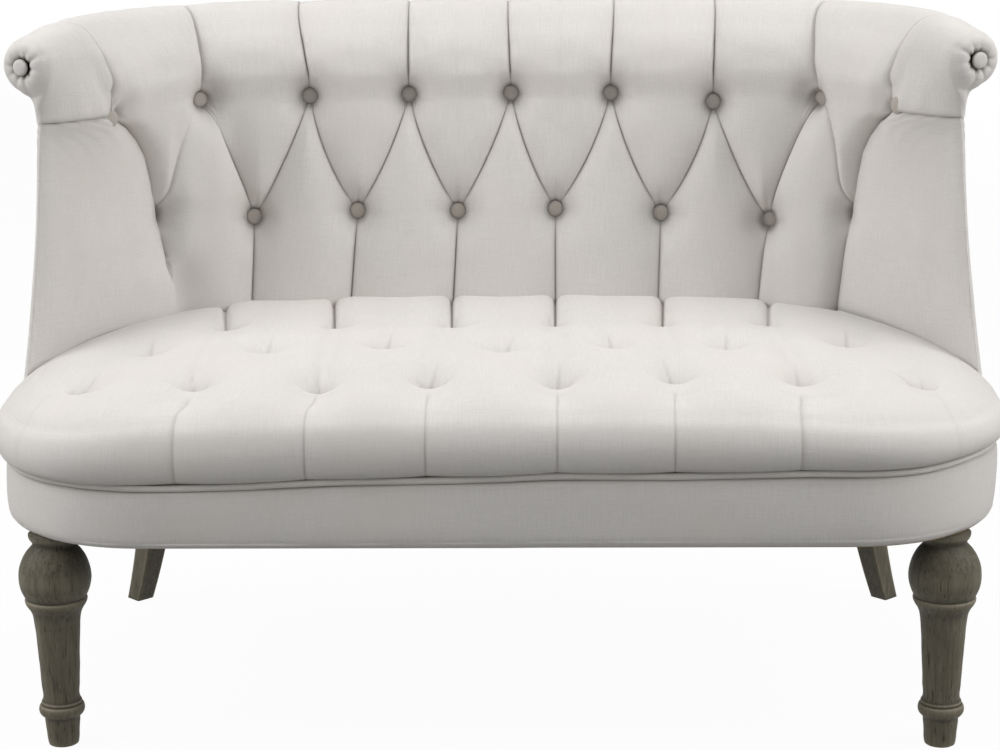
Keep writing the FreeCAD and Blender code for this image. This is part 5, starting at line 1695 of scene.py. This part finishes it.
@dataclass
class SeatCushion:
    """The seat: crowned, drawn down in three rows of blind tufts, seamed at its front."""

    rear_level: float = 0.4555
    swell: float = 0.012
    pitch: float = 0.1355
    first_row: tuple[float, ...] = (-344.0, -200.0, -76.0, 70.0, 203.0, 345.0)
    second_row: tuple[float, ...] = (-421.0, -277.0, -136.0, 5.0, 135.0, 268.0, 415.0)
    third_row: tuple[float, ...] = (-340.0, -204.0, -60.0, 66.0, 197.0, 327.0)
    first_back: tuple[float, ...] = (-218.0, -234.0, -224.0, -226.0, -212.0, -208.0)
    second_back: tuple[float, ...] = (-70.0, -94.0, -88.0, -108.0, -90.0, -85.0, -47.0)
    third_back: tuple[float, ...] = (15.0, 2.0, -3.0, 3.0, 6.0, 19.0)
    foot_shift: tuple[float, ...] = (-12.0, -10.0, 0.0, 0.0, -3.0, -6.0)
    halves: tuple[float, ...] = (-2.5, -1.5, -0.5, 0.5, 1.5, 2.5)
    wholes: tuple[float, ...] = (-3.0, -2.0, -1.0, 0.0, 1.0, 2.0, 3.0)
    rounding: float = 0.052
    front_rows: int = 44
    rear_rows: int = 14
    per_half: int = 18
    fan_steps: int = 88

    def tufts(self) -> list[tuple[float, float, float, float]]:
        """Place across, place in depth, depth and turn of every tuft.

        Returns:
            One tuple for each tuft.
        """
        rows = ((self.first_row, self.first_back, 0.037), (self.third_row, self.third_back, 0.018),
            (self.second_row, self.second_back, 0.030))
        places = [(x * 0.001, y * 0.001, deep, 0.0) for row, back, deep in rows for x, y in zip(row, back)]
        return places + [(-0.480, -0.204, 0.024, -0.50), (0.489, -0.196, 0.024, 0.62)]

    def sideways(self, station: Array, inward: Array) -> Array:
        """How far the cloth's lines lean to reach the listed tufts.

        Args:
            station: stations round the front, where halves are seams.
            inward: distances from the front edge.

        Returns:
            Distances across, 0 beyond the outer seams.
        """
        even = np.array(self.halves) * self.pitch
        foot, first, third = np.array([self.foot_shift, self.first_row, self.third_row]) * 0.001
        low, middle, high = (np.interp(station, (-3.3, *self.halves, 3.3), (0.0, *(row - even), 0.0))
            for row in (first + foot, first, third))
        across = station * self.pitch
        spread = self.spread(across, inward + PLAN.front_y, 0.005) - across
        return (mixed(mixed(low, middle, ease(inward / 0.095)), high, ease((inward - 0.12) / 0.20))
            + spread * np.interp(np.abs(station), [2.5, 3.3], [1.0, 0.0]))

    @staticmethod
    def spread(x: Array, y: Array, start: Array | float) -> Array:
        """Where a split that starts at (x, start) has got to at y: the pads widen to the rear."""
        return 0.09 + (x - 0.09) * (1.0 + 0.055 * held((y - start) / 0.165))

    def travels(self) -> Array:
        """Shares of the stations: whole numbers are front seams, and 2.5 starts the fan.

        Returns:
            The shares, from left to right.
        """
        right = [np.array([0.0])]
        for low in (0.0, 0.5, 1.0, 1.5, 2.0):
            right.append(low + 0.5 * close_to_ends(self.per_half, 0.4)[1:])
        right.append(2.5 + shares(self.fan_steps + 1)[1:])
        right = np.concatenate(right)
        return np.concatenate([-right[:0:-1], right])

    def distances(self, station: Array, first: float, last: Array) -> Array:
        """Distances from the front edge of the top's rows, crowded together at the tufts' lips.

        Args:
            station: stations round the front.
            first: where the front's rounding ends.
            last: where the rear's rounding begins, at each station.

        Returns:
            Distances of shape (rows, stations).
        """
        stops = [first]
        for places, row in ((self.halves, self.first_back), (self.wholes, self.second_back),
                            (self.halves, self.third_back)):
            stops.append(np.interp(station, places, row) * 0.001 - PLAN.front_y - 0.005)
        stops.append(last)
        even = [mixed(first, last, part) for part in (0.0, 0.12, 0.42, 0.66, 1.0)]
        beyond = ease((np.abs(station) - 2.5) / 0.35)
        stops = [mixed(stop, plain, beyond) for stop, plain in zip(stops, even)]
        return np.concatenate([mixed(low, high, close_to_ends(count, 0.35)[1:, None]) for low, high,
            count in zip(stops, stops[1:], (26, 52, 46, 54))])

    def ends(self, station: Array) -> tuple[Array, Array, Array]:
        """Front and rear end of each station and its distance along the front edge.

        Args:
            station: shares of the stations.

        Returns:
            Both ends and the distances.
        """
        side = np.where(station >= 0.0, 1.0, -1.0)
        away = np.abs(station)
        last = 2.5 * self.pitch
        travel_end = PLAN.edge_to(float(PLAN.wing_edge(PLAN.cushion_base)[1]) - 0.004)
        share = held(away - 2.5)
        travel = side * np.where(away <= 2.5, away * self.pitch, mixed(last, travel_end, share))
        reach = mixed(last, float(PLAN.crease(PLAN.cushion_base)) - 0.002, 1.0 - (1.0 - share) ** 3.5)
        rear = side * np.where(away <= 2.5, away * self.pitch, reach)
        front, _ = PLAN.outline(travel)
        return front, PLAN.tub(PLAN.cushion_base, rear, -0.008), travel

    def plain(self, x: Array, y: Array, inward: Array) -> Array:
        """Height of the seat's top without its tufts.

        Args:
            x: places across.
            y: places in depth.
            inward: distances from the front edge.

        Returns:
            Heights above the floor.
        """
        depth = held((y - PLAN.front_y) / 0.455)
        level = self.rear_level - 0.0165 * (1.0 - depth) ** 1.8
        level = level - 0.031 * (np.abs(x) / PLAN.half_seat) ** 2.9
        return level - 0.032 * dying(np.maximum(inward, 0.0), 0.033)

    def height(self, x: Array, y: Array, inward: Array) -> tuple[Array, Array]:
        """Height of the seat's top, and the share of painted shade at each place.

        Args:
            x: places across the seat.
            y: places in depth.
            inward: distances in from the seat's edge.

        Returns:
            Heights and shares of painted shade.
        """
        height = self.plain(x, y, inward)
        tucked = np.zeros(x.shape)
        chance = np.random.default_rng(3)
        for number, (tuft_x, tuft_y, deep, turn) in enumerate(self.tufts()):
            across, back = turned_to(x - tuft_x, y - tuft_y, turn)
            lean = chance.uniform(-0.3, 0.3)
            reach = np.hypot(across / 0.046, back / np.where(back > 0.0, 0.044, 0.058))
            height = height - 0.34 * deep * np.exp(-reach ** 2)
            wide = 0.0145 + 0.36 * np.clip(back, 0.0, 0.05)
            behind = back + 0.0050 * (1.0 - (across / 0.0175) ** 2)
            slope = np.where(behind > 0.0, hump(np.maximum(behind, 0.0), 0.0185, 1.2), hump(behind, 0.0024))
            pocket = hump(np.abs(across), wide, 2.4)
            height = height - 0.62 * deep * slope * pocket
            # Painted shade: a dark line along each tuft's lip and darkening down into its pit; the radial
            # folds are shaded as well.
            line = hump(behind + 0.0004, 0.0015) * hump(np.abs(across), 0.0125, 2.4)
            inside = (slope * pocket) ** 2 * (behind > -0.001)
            tucked = np.maximum(tucked, 0.95 * np.maximum(line, inside))
            folds = ((lean, 0.034, 0.0040), (lean + 0.85, 0.022, 0.0026), (lean - 0.9, 0.020, 0.0024))
            for angle, length, deep_fold in folds[:1 + (number * 2 + 1) % 3]:
                run, off = turned_to(back, across, angle)
                line = hump(off, 0.0020) * held(run / 0.003) * hump(np.maximum(run, 0.0), length)
                height = height - deep_fold * line
                tucked = np.maximum(tucked, 0.45 * line)
        return height, tucked

    def from_seam(self, station: Array) -> Array:
        """Distance of each station from the nearest front seam."""
        return np.min([np.abs(station - half) for half in self.halves], axis=0) * self.pitch

    def drawn(self, station: Array, distance: Array) -> Array:
        """How far the cloth is drawn down at the front seams, some way in from the edge."""
        return 0.0045 * hump(self.from_seam(station), 0.026) * hump(distance - 0.050, 0.045)

    def splits(self, x: Array, y: Array) -> tuple[Array, Array]:
        """Depth of the splits between the rear pads, and the share of painted shade at each place.

        Args:
            x: places across the seat.
            y: places in depth.

        Returns:
            Depths and shares of painted shade.
        """
        depth = np.zeros(x.shape)
        tucked = np.zeros(x.shape)
        for place, start in zip(self.third_row, self.third_back):
            away = np.abs(x - self.spread(place * 0.001, y, start * 0.001))
            past = y - start * 0.001
            grown = held((past + 0.002) / 0.014)
            rear = held(past / 0.14)
            groove = 0.0065 * dying(away, 0.0014) + (0.005 + 0.004 * rear) * hump(away,
                0.0024 + 0.0024 * rear ** 2, 1.2)
            pad = held(past / 0.02) * np.clip(1.0 - past / 0.09, 0.3, 1.0)
            depth = depth + grown * groove + 0.0036 * pad * hump(away, 0.012, 1.3)
            # Painted shade down each split.
            tucked = np.maximum(tucked, 0.75 * grown * dying(away, 0.0013))
        return depth, tucked

    def seams(self, station: Array, travel: Array, distance: Array) -> tuple[Array, Array]:
        """Depth of the front seams some way in from the edge, and the share of painted shade at each place.

        Args:
            station: shares of the stations.
            travel: distances along the front edge.
            distance: distances in from the front end.

        Returns:
            Depths and shares of painted shade.
        """
        away = self.from_seam(station)
        corner = np.minimum(np.abs(travel + 0.545), np.abs(travel - 0.525))
        broad = 0.0034 * hump(away, 0.022, 1.3)
        groove = 0.0010 * dying(away, 0.0010) + 0.0006 * dying(corner, 0.0022)
        fade = 1.0 - ease((distance - 0.054) / 0.018)
        # Painted shade along the front seams and at the front corners.
        tucked = (0.38 * dying(away, 0.0009) + 0.2 * dying(corner, 0.0016)) * fade
        return (broad + groove) * fade, tucked

    def build(self) -> bpy.types.Object:
        """The cushion as one closed form.

        Returns:
            The finished piece.
        """
        station = self.travels()
        front, rear, travel = self.ends(station)
        run = (rear - front) * FLAT
        length = lengths(run)
        run = unit(run)
        base = PLAN.cushion_base + PLAN.sag(travel)
        flat = front * FLAT

        def spot(distance: Array | float, height: Array | float) -> Array:
            """A point of every station, some way in from its front end.

            Args:
                distance: distances in from the front end.
                height: the height of each point.

            Returns:
                The points.
            """
            point = flat + run * np.broadcast_to(distance, length.shape)[:, None]
            point[:, 0] += self.sideways(station, distance)
            point[:, 2] = height
            return point

        def top_at(distance: float) -> Array:
            """A point of every station on the plain top.

            Args:
                distance: distances in from the front end.

            Returns:
                The points.
            """
            point = spot(distance, 0.0)
            place = np.minimum(PLAN.inward(point[:, 0], point[:, 1]), distance)
            point[:, 2] = self.plain(point[:, 0], point[:, 1], place)
            return point

        swell = self.swell - 0.0008
        crown = top_at(self.rounding)[:, 2]
        brow = top_at(0.0075)[:, 2] - base
        bulge = ((-0.55, 0.08), (-1.00, 0.25), (-1.12, 0.44), (-0.90, 0.64), (-0.34, 0.84))
        knots = [spot(0.004, base - 0.0016),
            *(spot(part * swell, base + rise * brow) for part, rise in bulge)]
        knots += [top_at(place) for place in (0.0075, 0.018, 0.032, self.rounding, self.rounding + 0.02)]
        face = curve_through(np.stack(knots), np.linspace(0.0, 9.0, self.front_rows + 1))
        full, _ = self.height(face[..., 0], face[..., 1], 0.5)
        bare = self.plain(face[..., 0], face[..., 1], 0.5)
        over = ease((face[..., 2] - base - 0.55 * brow) / (0.5 * brow))
        gone = ((face - flat) * run).sum(axis=-1)
        face[..., 2] += (full - bare - self.drawn(station, gone)) * over
        rise = (face[..., 2] - base) / (crown - base)
        tuck_in, shade_front = self.seams(station, travel, gone)
        _, outward = PLAN.outline(travel)
        lean = held((0.046 - gone) / 0.03)[..., None]
        direction = unit(outward * lean + UP * (1.0 - lean))
        face = face - direction * tuck_in[..., None]
        wave = 0.0008 * ripple(travel, face[..., 2], 61, 0.13)
        face = face + direction * (wave * np.sin(held(rise) * math.pi))[..., None]
        round_off = 0.006
        distance = self.distances(station, self.rounding, length - round_off)
        share = (distance - self.rounding) / (length - self.rounding - round_off)
        top = flat + run * distance[..., None]
        top[..., 0] += self.sideways(station, distance)
        edge = np.minimum(PLAN.inward(top[..., 0], top[..., 1]), distance)
        height, shade_top = self.height(top[..., 0], top[..., 1], edge)
        groove, shade_seam = self.seams(station, travel, distance)
        height = height - self.drawn(station, distance) - groove
        height = height + (face[-1, :, 2] - height[0]) * (1.0 - ease(share / 0.10))
        split, shade_split = self.splits(top[..., 0], top[..., 1])
        # Painted shade of the tufts, seams and splits; the rear wall carries the splits' shade.
        shade_top = np.maximum(np.maximum(shade_top, shade_seam), shade_split)
        sag = 0.0009 * ripple(top[..., 0], top[..., 1], 71, 0.10)
        rear_round = 0.002 * held((share - 0.95) / 0.05) ** 2
        top[..., 2] = height - split + sag * ease(share / 0.06) - rear_round
        fall = shares(self.rear_rows + 1)[1:, None]
        angle = held(fall / 0.5) * math.pi / 2.0
        wall = flat + run * (distance[-1] + round_off * np.sin(angle))[..., None]
        wall[..., 0] += self.sideways(station, distance[-1])
        down = top[-1, :, 2] - round_off * (1.0 - np.cos(angle))
        wall[..., 2] = mixed(down, base, held((fall - 0.5) / 0.5))
        points = np.concatenate([face, top[1:], wall])
        painted_shade = np.concatenate([shade_front, shade_top[1:], np.repeat(shade_split[-1:], self.rear_rows, axis=0)])
        core = flat + run * (length / 2.0)[:, None] + UP * 0.39
        grid = Grid(points, joined(travel, travelled(points)), points - core, held(painted_shade), round_rows=True)
        piece = dressed(Sewing.make("tufted_seat", [grid]), COVER, "linen", "seat_cushion")
        return piece


@dataclass
class SeatBorder:
    """The border round the seat frame and the piping above it."""

    top: float = 0.3353
    lip: float = 0.0010
    piping_radius: float = 0.0044
    cord: float = 0.0039

    def travel(self, count: int) -> Array:
        """Places along the front edge, up to where the panel begins."""
        end = PLAN.edge_to(PLAN.wing_bottom_y + 0.026)
        return np.linspace(-end, end, count)

    def border(self) -> bpy.types.Object:
        """A padded band with a rounded lower edge, drawn in under the piping.

        Returns:
            The finished piece.
        """
        low = PLAN.rail_base + 0.0003
        top = self.top + self.lip
        travel = self.travel(420)
        profile = np.array([(0.0098, low + 0.0030), (0.0094, low + 0.0006), (0.0086, low),
            (0.0066, low + 0.0012), (0.0044, low + 0.0042), (0.0022, low + 0.0095), (0.0004, low + 0.020),
            (-0.0006, low + 0.038), (0.0002, top - 0.010), (0.0010, top - 0.004), (0.0030, top - 0.0008),
            (0.0060, top), (0.0096, top - 0.0010), (0.0100, top - 0.010), (0.0100, low + 0.010)])
        line = curve_through(profile[:, None], np.linspace(0.0, len(profile) - 1.0, 60))[:, 0]
        edge, outward = PLAN.outline(travel)
        inset, height = line[:, :1], line[:, 1:]
        face = (inset < 0.003) & (height > low + 0.004)
        rise = mixed(0.25, 1.0, (height - low) / (top - low))
        wave = 0.0008 * ripple(travel, height * 1.6, 81, 0.15)
        pull = 0.0005 * np.sin(travel / 0.017) * dying(height - low, 0.012)
        points = edge - outward * (inset - (wave + pull - 0.0006) * face)[..., None]
        points[..., 2] = height + np.maximum(PLAN.sag(travel) * rise, (low - height) * 0.2)
        # Painted shade along the band's top, under the piping.
        tuck = np.repeat(0.6 * dying(np.abs(height - self.top), 0.003) * face, len(travel), axis=1)
        core = edge - outward * 0.005 + UP * (low + self.top) / 2.0
        grid = Grid(points, joined(travel, travelled(line)[:, None]), points - core, tuck, round_rows=True)
        piece = dressed(Sewing.make("border_band", [grid]), COVER, "linen", "seat_border")
        return piece

    def piping(self) -> bpy.types.Object:
        """A corded welt with its sewn lip, cut on the bias.

        Returns:
            The finished piece.
        """
        travel = self.travel(520)
        edge, outward = PLAN.outline(travel, self.piping_radius)
        height = self.top + 0.0003 + self.piping_radius + 0.0006 * np.sin(travel / 0.043) + PLAN.sag(travel)
        turn = np.linspace(0.0, math.tau, 22, endpoint=False)
        thick = self.cord * (1.0 + 0.035 * ripple(travel, 0.0, 91, 0.05))
        below, above, turn = turn - math.pi * 1.5, turn - math.pi * 0.5, turn[:, None]
        reach = thick * (1.0 - 0.16 * hump(below, 0.22))[:, None]
        points = edge + outward * (np.cos(turn) * reach)[..., None]
        points[..., 2] = height + np.sin(turn) * reach
        # Painted shade under the cord and along its top.
        painted_shade = np.outer(0.75 * hump(below, 0.35) + 0.4 * hump(above, 0.30), np.ones(len(travel)))
        centre = edge + UP * height[:, None]
        grid = Grid(points, joined(travel, turn * self.piping_radius), points - centre, painted_shade, round_rows=True)
        return dressed(Sewing.make("piping", [grid]), PIPING, "linen", "seat_piping")


# Legs

@dataclass
class TurnedLegs:
    """The two turned front legs."""

    places: tuple[tuple[float, float], ...] = ((-0.512, -0.240), (0.512, -0.240))
    sides: int = 72

    def profile(self) -> Array:
        """Radius, height, painted shade of the grooves and rubbed edge of the turning, from foot to cap."""
        rows = [(0.0005, 0.0, 0.6, 0.0), (0.0150, 0.0, 0.4, 0.0), (0.0174, 0.0012, 0.0, 0.6),
            (0.0180, 0.0034, 0.0, 0.4), (0.0192, 0.018, 0.0, 0.0), (0.0203, 0.030, 0.0, 0.0),
            (0.0207, 0.0345, 0.5, 0.0), (0.0216, 0.0356, 0.9, 0.0), (0.0240, 0.0378, 0.2, 0.1),
            (0.0259, 0.0408, 0.0, 0.2), (0.0265, 0.0444, 0.0, 0.2), (0.0259, 0.0478, 0.0, 0.5),
            (0.0246, 0.0499, 0.1, 0.9), (0.0238, 0.0508, 0.9, 0.0), (0.0236, 0.0518, 0.6, 0.1),
            (0.0232, 0.0538, 0.0, 0.9), (0.0222, 0.0552, 0.6, 0.0), (0.0215, 0.0572, 0.3, 0.0),
            (0.0220, 0.074, 0.0, 0.0), (0.0233, 0.100, 0.0, 0.0), (0.0247, 0.126, 0.0, 0.0),
            (0.0261, 0.147, 0.0, 0.0), (0.0270, 0.1555, 0.1, 0.0), (0.0280, 0.1610, 0.3, 0.0),
            (0.0304, 0.1668, 0.3, 0.0), (0.0332, 0.1712, 0.1, 0.0), (0.0351, 0.1745, 0.0, 0.2),
            (0.0359, 0.1772, 0.0, 0.6), (0.0360, 0.1788, 0.0, 1.0), (0.0354, 0.1801, 0.0, 1.0),
            (0.0349, 0.1812, 0.8, 0.0), (0.0356, 0.1826, 0.5, 0.0), (0.0384, 0.1885, 0.0, 0.0),
            (0.0405, 0.1950, 0.0, 0.0), (0.0416, 0.2030, 0.0, 0.2), (0.0413, 0.2110, 0.0, 0.2),
            (0.0396, 0.2195, 0.0, 0.0), (0.0364, 0.2280, 0.0, 0.0), (0.0320, 0.2355, 0.1, 0.0),
            (0.0272, 0.2410, 0.3, 0.0), (0.0246, 0.2440, 0.6, 0.0), (0.0240, 0.2462, 0.8, 0.0),
            (0.0252, 0.2490, 0.3, 0.1), (0.0272, 0.2520, 0.1, 0.4), (0.0280, 0.2548, 0.0, 0.3),
            (0.0280, 0.2578, 0.3, 0.0), (0.0004, 0.2580, 0.3, 0.0)]
        return np.array(rows)

    def build(self) -> bpy.types.Object:
        """Both legs as one piece, with faint tool marks on the turning.

        Returns:
            The finished piece.
        """
        rows = self.profile()
        weights = np.array([1.0, 1.0, 1e-5, 1e-5])
        places = np.concatenate([[0.0], np.linspace(1.0, len(rows) - 2.0, 170), [len(rows) - 1.0]])
        line = curve_through((rows * weights)[:, None], places)[:, 0] / weights
        turn = np.linspace(0.0, math.tau, self.sides, endpoint=False)
        grids = []
        for number, (x, y) in enumerate(self.places):
            up = np.clip(line[:, 1:2], 0.0, 0.258)
            uneven = 0.00022 * ripple(np.cos(turn) * 0.05 + number, line[:, 1:2], 97, 0.03)
            radius = np.maximum(line[:, :1] + uneven, 0.0002)
            out = joined(radius * np.cos(turn), radius * np.sin(turn), 0.0)
            # The third column is painted shade in the grooves; the fourth marks rubbed edges.
            painted_shade, edge = (held(np.outer(line[:, part], np.ones(self.sides))) for part in (2, 3))
            grids.append(Grid(out + joined(x, y, up), joined(turn * 0.03, line[:, 1:2]), out, painted_shade, edge,
                round_columns=True))
        piece = Sewing.make("turned_legs", grids, 0.0)
        return dressed(piece, LEG_WOOD, "leg_wood", "front_legs")


@dataclass
class SabreLegs:
    """The two square back legs that sweep out and back."""

    tops: tuple[tuple[float, float], ...] = ((-0.467, 0.250), (0.467, 0.250))
    sweep: float = 0.045
    foot: float = 0.026
    top: float = 0.041
    height: float = 0.258
    bevel: float = 0.0022

    def build(self) -> bpy.types.Object:
        """Both legs, each with softened edges.

        Returns:
            The finished piece.
        """
        rise = shares(44)
        knots = np.array([(0.0, 1.0), (0.32, 0.52), (0.66, 0.17), (1.0, 0.0)])
        sweep = np.polyval(np.polyfit(knots[:, 0], knots[:, 1], 3), rise) * self.sweep
        width = self.foot + (self.top - self.foot) * rise
        grids = []
        for x, y in self.tops:
            side = math.copysign(1.0, x)
            rings, edges = [], []
            reach = width * math.sqrt(0.5) - self.bevel * math.sqrt(2.0)
            for corner in np.arange(4) * math.pi / 2.0:
                for turn in corner + np.linspace(-math.pi / 4.0, math.pi / 4.0, 4):
                    rings.append(joined(reach * math.cos(corner) + self.bevel * math.cos(turn),
                        reach * math.sin(corner) + self.bevel * math.sin(turn)))
                ahead = corner + math.pi / 4.0
                for share in (-0.6, 0.0, 0.6):
                    rings.append(joined(math.cos(ahead) - share * math.sin(ahead), math.sin(ahead)
                        + share * math.cos(ahead)) * width[:, None] / 2.0)
                edges += [1.0] * 4 + [0.0] * 3
            plan = np.stack(rings, axis=1)
            plan = np.concatenate([plan[:1] * 0.02, plan, plan[-1:] * 0.02])
            level = np.concatenate([rise[:1], rise, rise[-1:]])[:, None]
            lean = np.concatenate([sweep[:1], sweep, sweep[-1:]])[:, None]
            out = joined(plan[..., 0], plan[..., 1], 0.0)
            points = out + joined(x + side * lean, y + lean, level * self.height)
            edge = np.repeat(np.array([edges]), len(level), axis=0)
            edge[0] = edge[-1] = 0.0
            cloth = joined(np.arange(len(edges)) * 0.01, level * self.height)
            grids.append(Grid(points, cloth, out, np.zeros(edge.shape), edge * 0.5, round_columns=True))
        piece = Sewing.make("sabre_legs", grids, 0.0)
        return dressed(piece, LEG_WOOD, "leg_wood", "back_legs")


# Hidden frame and cloths

@dataclass
class HiddenFrame:
    """The CAD pieces that stay: rails, posts, blocks, webbing, cloths and bolts."""

    along_x: tuple[str, ...] = ("front_seat_rail", "back_seat_rail", "top_rail_back", "lower_back_rail",
        "corner_blocks")
    along_y: tuple[str, ...] = ("side_seat_rail_left", "side_seat_rail_right", "seat_stretcher",
        "top_rail_left", "top_rail_right")
    along_z: tuple[str, ...] = ("back_post_left", "back_post_right", "corner_post_left",
        "corner_post_right", "wing_post_left", "wing_post_right")
    webs: tuple[str, ...] = ("seat_webbing_long", "seat_webbing_cross", "back_webbing")

    def dress(self) -> None:
        """Give every piece of the frame the finish of its own material."""
        stretches = ((self.along_x, (5.0, 70.0, 70.0)), (self.along_y, (70.0, 5.0, 70.0)),
            (self.along_z, (70.0, 70.0, 5.0)))
        for number, (names, stretch) in enumerate(stretches):
            wood = SawnWood(name=f"frame_wood_{'xyz'[number]}", stretch=stretch).material()
            self._give(names, wood)
        self._give(self.webs, Woven("webbing", (0.50, 0.40, 0.26), (0.16, 0.12, 0.07), 420.0, 0.0006,
            (0.30, 0.10, 0.07)).material())
        self._give(("seat_deck_cloth",), Woven("deck_cloth", (0.58, 0.50, 0.36), (0.20, 0.16, 0.10),
            600.0).material())
        self._give(("dust_cover",), Woven("cambric", (0.045, 0.045, 0.048), (0.012, 0.012, 0.012), 900.0,
            0.0002).material())
        self._give(("leg_bolts",), Zinc().material())

    @staticmethod
    def _give(names: tuple[str, ...], material: bpy.types.Material) -> None:
        """Put one material in every slot of the named nodes."""
        for name in names:
            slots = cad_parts[name].data.materials
            if len(slots) == 0:
                slots.append(material)
            for index in range(len(slots)):
                slots[index] = material
            log.info("frame piece %s", name)


# Studio

@dataclass
class Studio:
    """A pale floor, soft lamps and the camera."""

    focal: float = 2500.0
    pitch: float = 13.47
    yaw: float = 1.77
    roll: float = -0.64
    stand: tuple[float, float, float] = (0.090, -2.981, 1.099)

    def build(self) -> None:
        """Set up everything around the settee."""
        self._floor()
        self._lamps()
        self._world()
        self._camera()
        bpy.context.scene.view_settings.view_transform = "Standard"

    def _floor(self) -> None:
        """A wide floor, white to the camera except for the shadow."""
        across = np.linspace(-7.0, 7.0, 9)
        points = joined(across[None, :], across[:, None], 0.0)
        up = UP
        piece = Sewing.make("studio_floor", [Grid(points, points[..., :2], up)])
        shader = Shader("studio_paper")
        path = shader.node("ShaderNodeLightPath")
        seen = (path["Is Camera Ray"] + path["Is Glossy Ray"]).larger(path["Is Transmission Ray"])
        place = shader.place()
        grain = shader.noise(place, 30.0, 2.0)
        lit = shader.node("ShaderNodeBsdfDiffuse",
            {"Color": shader.mix(grain, (0.80, 0.80, 0.80), (0.83, 0.83, 0.83))})
        paper = shader.node("ShaderNodeBsdfDiffuse",
            {"Color": shader.mix(grain, (0.29, 0.29, 0.287), (0.31, 0.31, 0.307))})
        glow = shader.node("ShaderNodeEmission", {"Color": (1.0, 1.0, 1.0, 1.0), "Strength": 1.0})
        far = shader.ramp(place.distance(), 1.2, 2.4)
        bright = shader.node("ShaderNodeMixShader", {0: 0.96 + 0.04 * far, 1: lit[0], 2: glow[0]})
        shown = shader.node("ShaderNodeMixShader",
            {0: shader.node("ShaderNodeClamp", {0: seen})[0], 1: paper[0], 2: bright[0]})
        shader.node("ShaderNodeOutputMaterial", {"Surface": shown[0]})
        piece.data.materials.append(shader.material)

    def _lamps(self) -> None:
        """A large soft lamp overhead, one high on each side and a weak one in front."""
        for name, place, aim, size, power in (
                ("overhead", (0.0, 0.20, 2.8), (0.0, -0.1, 0.4), (2.6, 1.4), 22.0),
                ("left", (-2.6, -0.8, 1.9), (0.0, 0.0, 0.5), (1.8, 1.4), 47.0),
                ("right", (2.6, -0.8, 1.9), (0.0, 0.0, 0.5), (1.8, 1.4), 47.0),
                ("front", (0.0, -4.2, 1.9), (0.0, 0.0, 0.5), (2.4, 1.4), 0.6)):
            lamp = bpy.data.lights.new(name, "AREA")
            lamp.shape = "RECTANGLE"
            lamp.size, lamp.size_y = size
            lamp.energy = power
            made = put(name, lamp)
            made.location = place
            made.rotation_euler = (Vector(aim) - Vector(place)).to_track_quat("-Z", "Y").to_euler()

    def _world(self) -> None:
        """Soft light from all round, white to the camera."""
        shader = Shader("studio", world=True)
        seen = shader.node("ShaderNodeLightPath")["Is Camera Ray"]
        up = shader.separate(shader.node("ShaderNodeTexCoord")["Generated"])["Z"]
        sky = shader.mix(up, (0.235, 0.24, 0.25), (0.58, 0.585, 0.60))
        soft = shader.node("ShaderNodeBackground", {"Color": sky, "Strength": 1.0})
        white = shader.node("ShaderNodeBackground", {"Color": (1.0, 1.0, 1.0, 1.0), "Strength": 1.0})
        chosen = shader.node("ShaderNodeMixShader", {0: seen, 1: soft[0], 2: white[0]})
        shader.node("ShaderNodeOutputWorld", {"Surface": chosen[0]})
        bpy.context.scene.world = shader.material

    def _camera(self) -> None:
        """The camera at the photograph's viewing angle."""
        camera = bpy.data.cameras.new("camera")
        camera.sensor_fit = "HORIZONTAL"
        camera.sensor_width = 36.0
        camera.lens = self.focal / 1000.0 * 36.0
        camera.clip_start, camera.clip_end = 0.05, 60.0
        tilt, turn, bank = (math.radians(angle) for angle in (self.pitch, self.yaw, self.roll))
        across = Vector((math.cos(turn), math.sin(turn), 0.0))
        level = Vector((-math.sin(turn), math.cos(turn), 0.0))
        forward = level * math.cos(tilt) - Vector((0.0, 0.0, math.sin(tilt)))
        up = level * math.sin(tilt) + Vector((0.0, 0.0, math.cos(tilt)))
        right = across * math.cos(bank) + up * math.sin(bank)
        top = up * math.cos(bank) - across * math.sin(bank)
        made = put("camera", camera)
        turned = Matrix((right, top, -forward)).transposed().to_4x4()
        made.matrix_world = Matrix.Translation(self.stand) @ turned
        bpy.context.scene.camera = made


COVER = Hue.COVER.value.material()
TAUPE_SHADED_BUTTON = Hue.TAUPE_SHADED_BUTTON.value.material()
PIPING = Hue.PIPING.value.material()
LEG_WOOD = WeatheredWood().material()


def main() -> None:
    """Build every piece in order and report it."""
    logging.basicConfig(level=logging.INFO, format="%(name)s: %(message)s")
    back = ButtonedBack()
    border = SeatBorder()
    pieces = [back.build(), *Buttons(back).build()]
    pieces += [WingFacing(-1.0, "wing_facing_left").build(), WingFacing(1.0, "wing_facing_right").build()]
    pieces += [OutsidePanel().build(), SeatCushion().build(), border.border(), border.piping()]
    pieces += [TurnedLegs().build(), SabreLegs().build()]
    for piece in pieces:
        log.info("%s: %d points", piece.name, len(piece.data.vertices))
    HiddenFrame().dress()
    Studio().build()


if __name__ == "__main__":
    main()
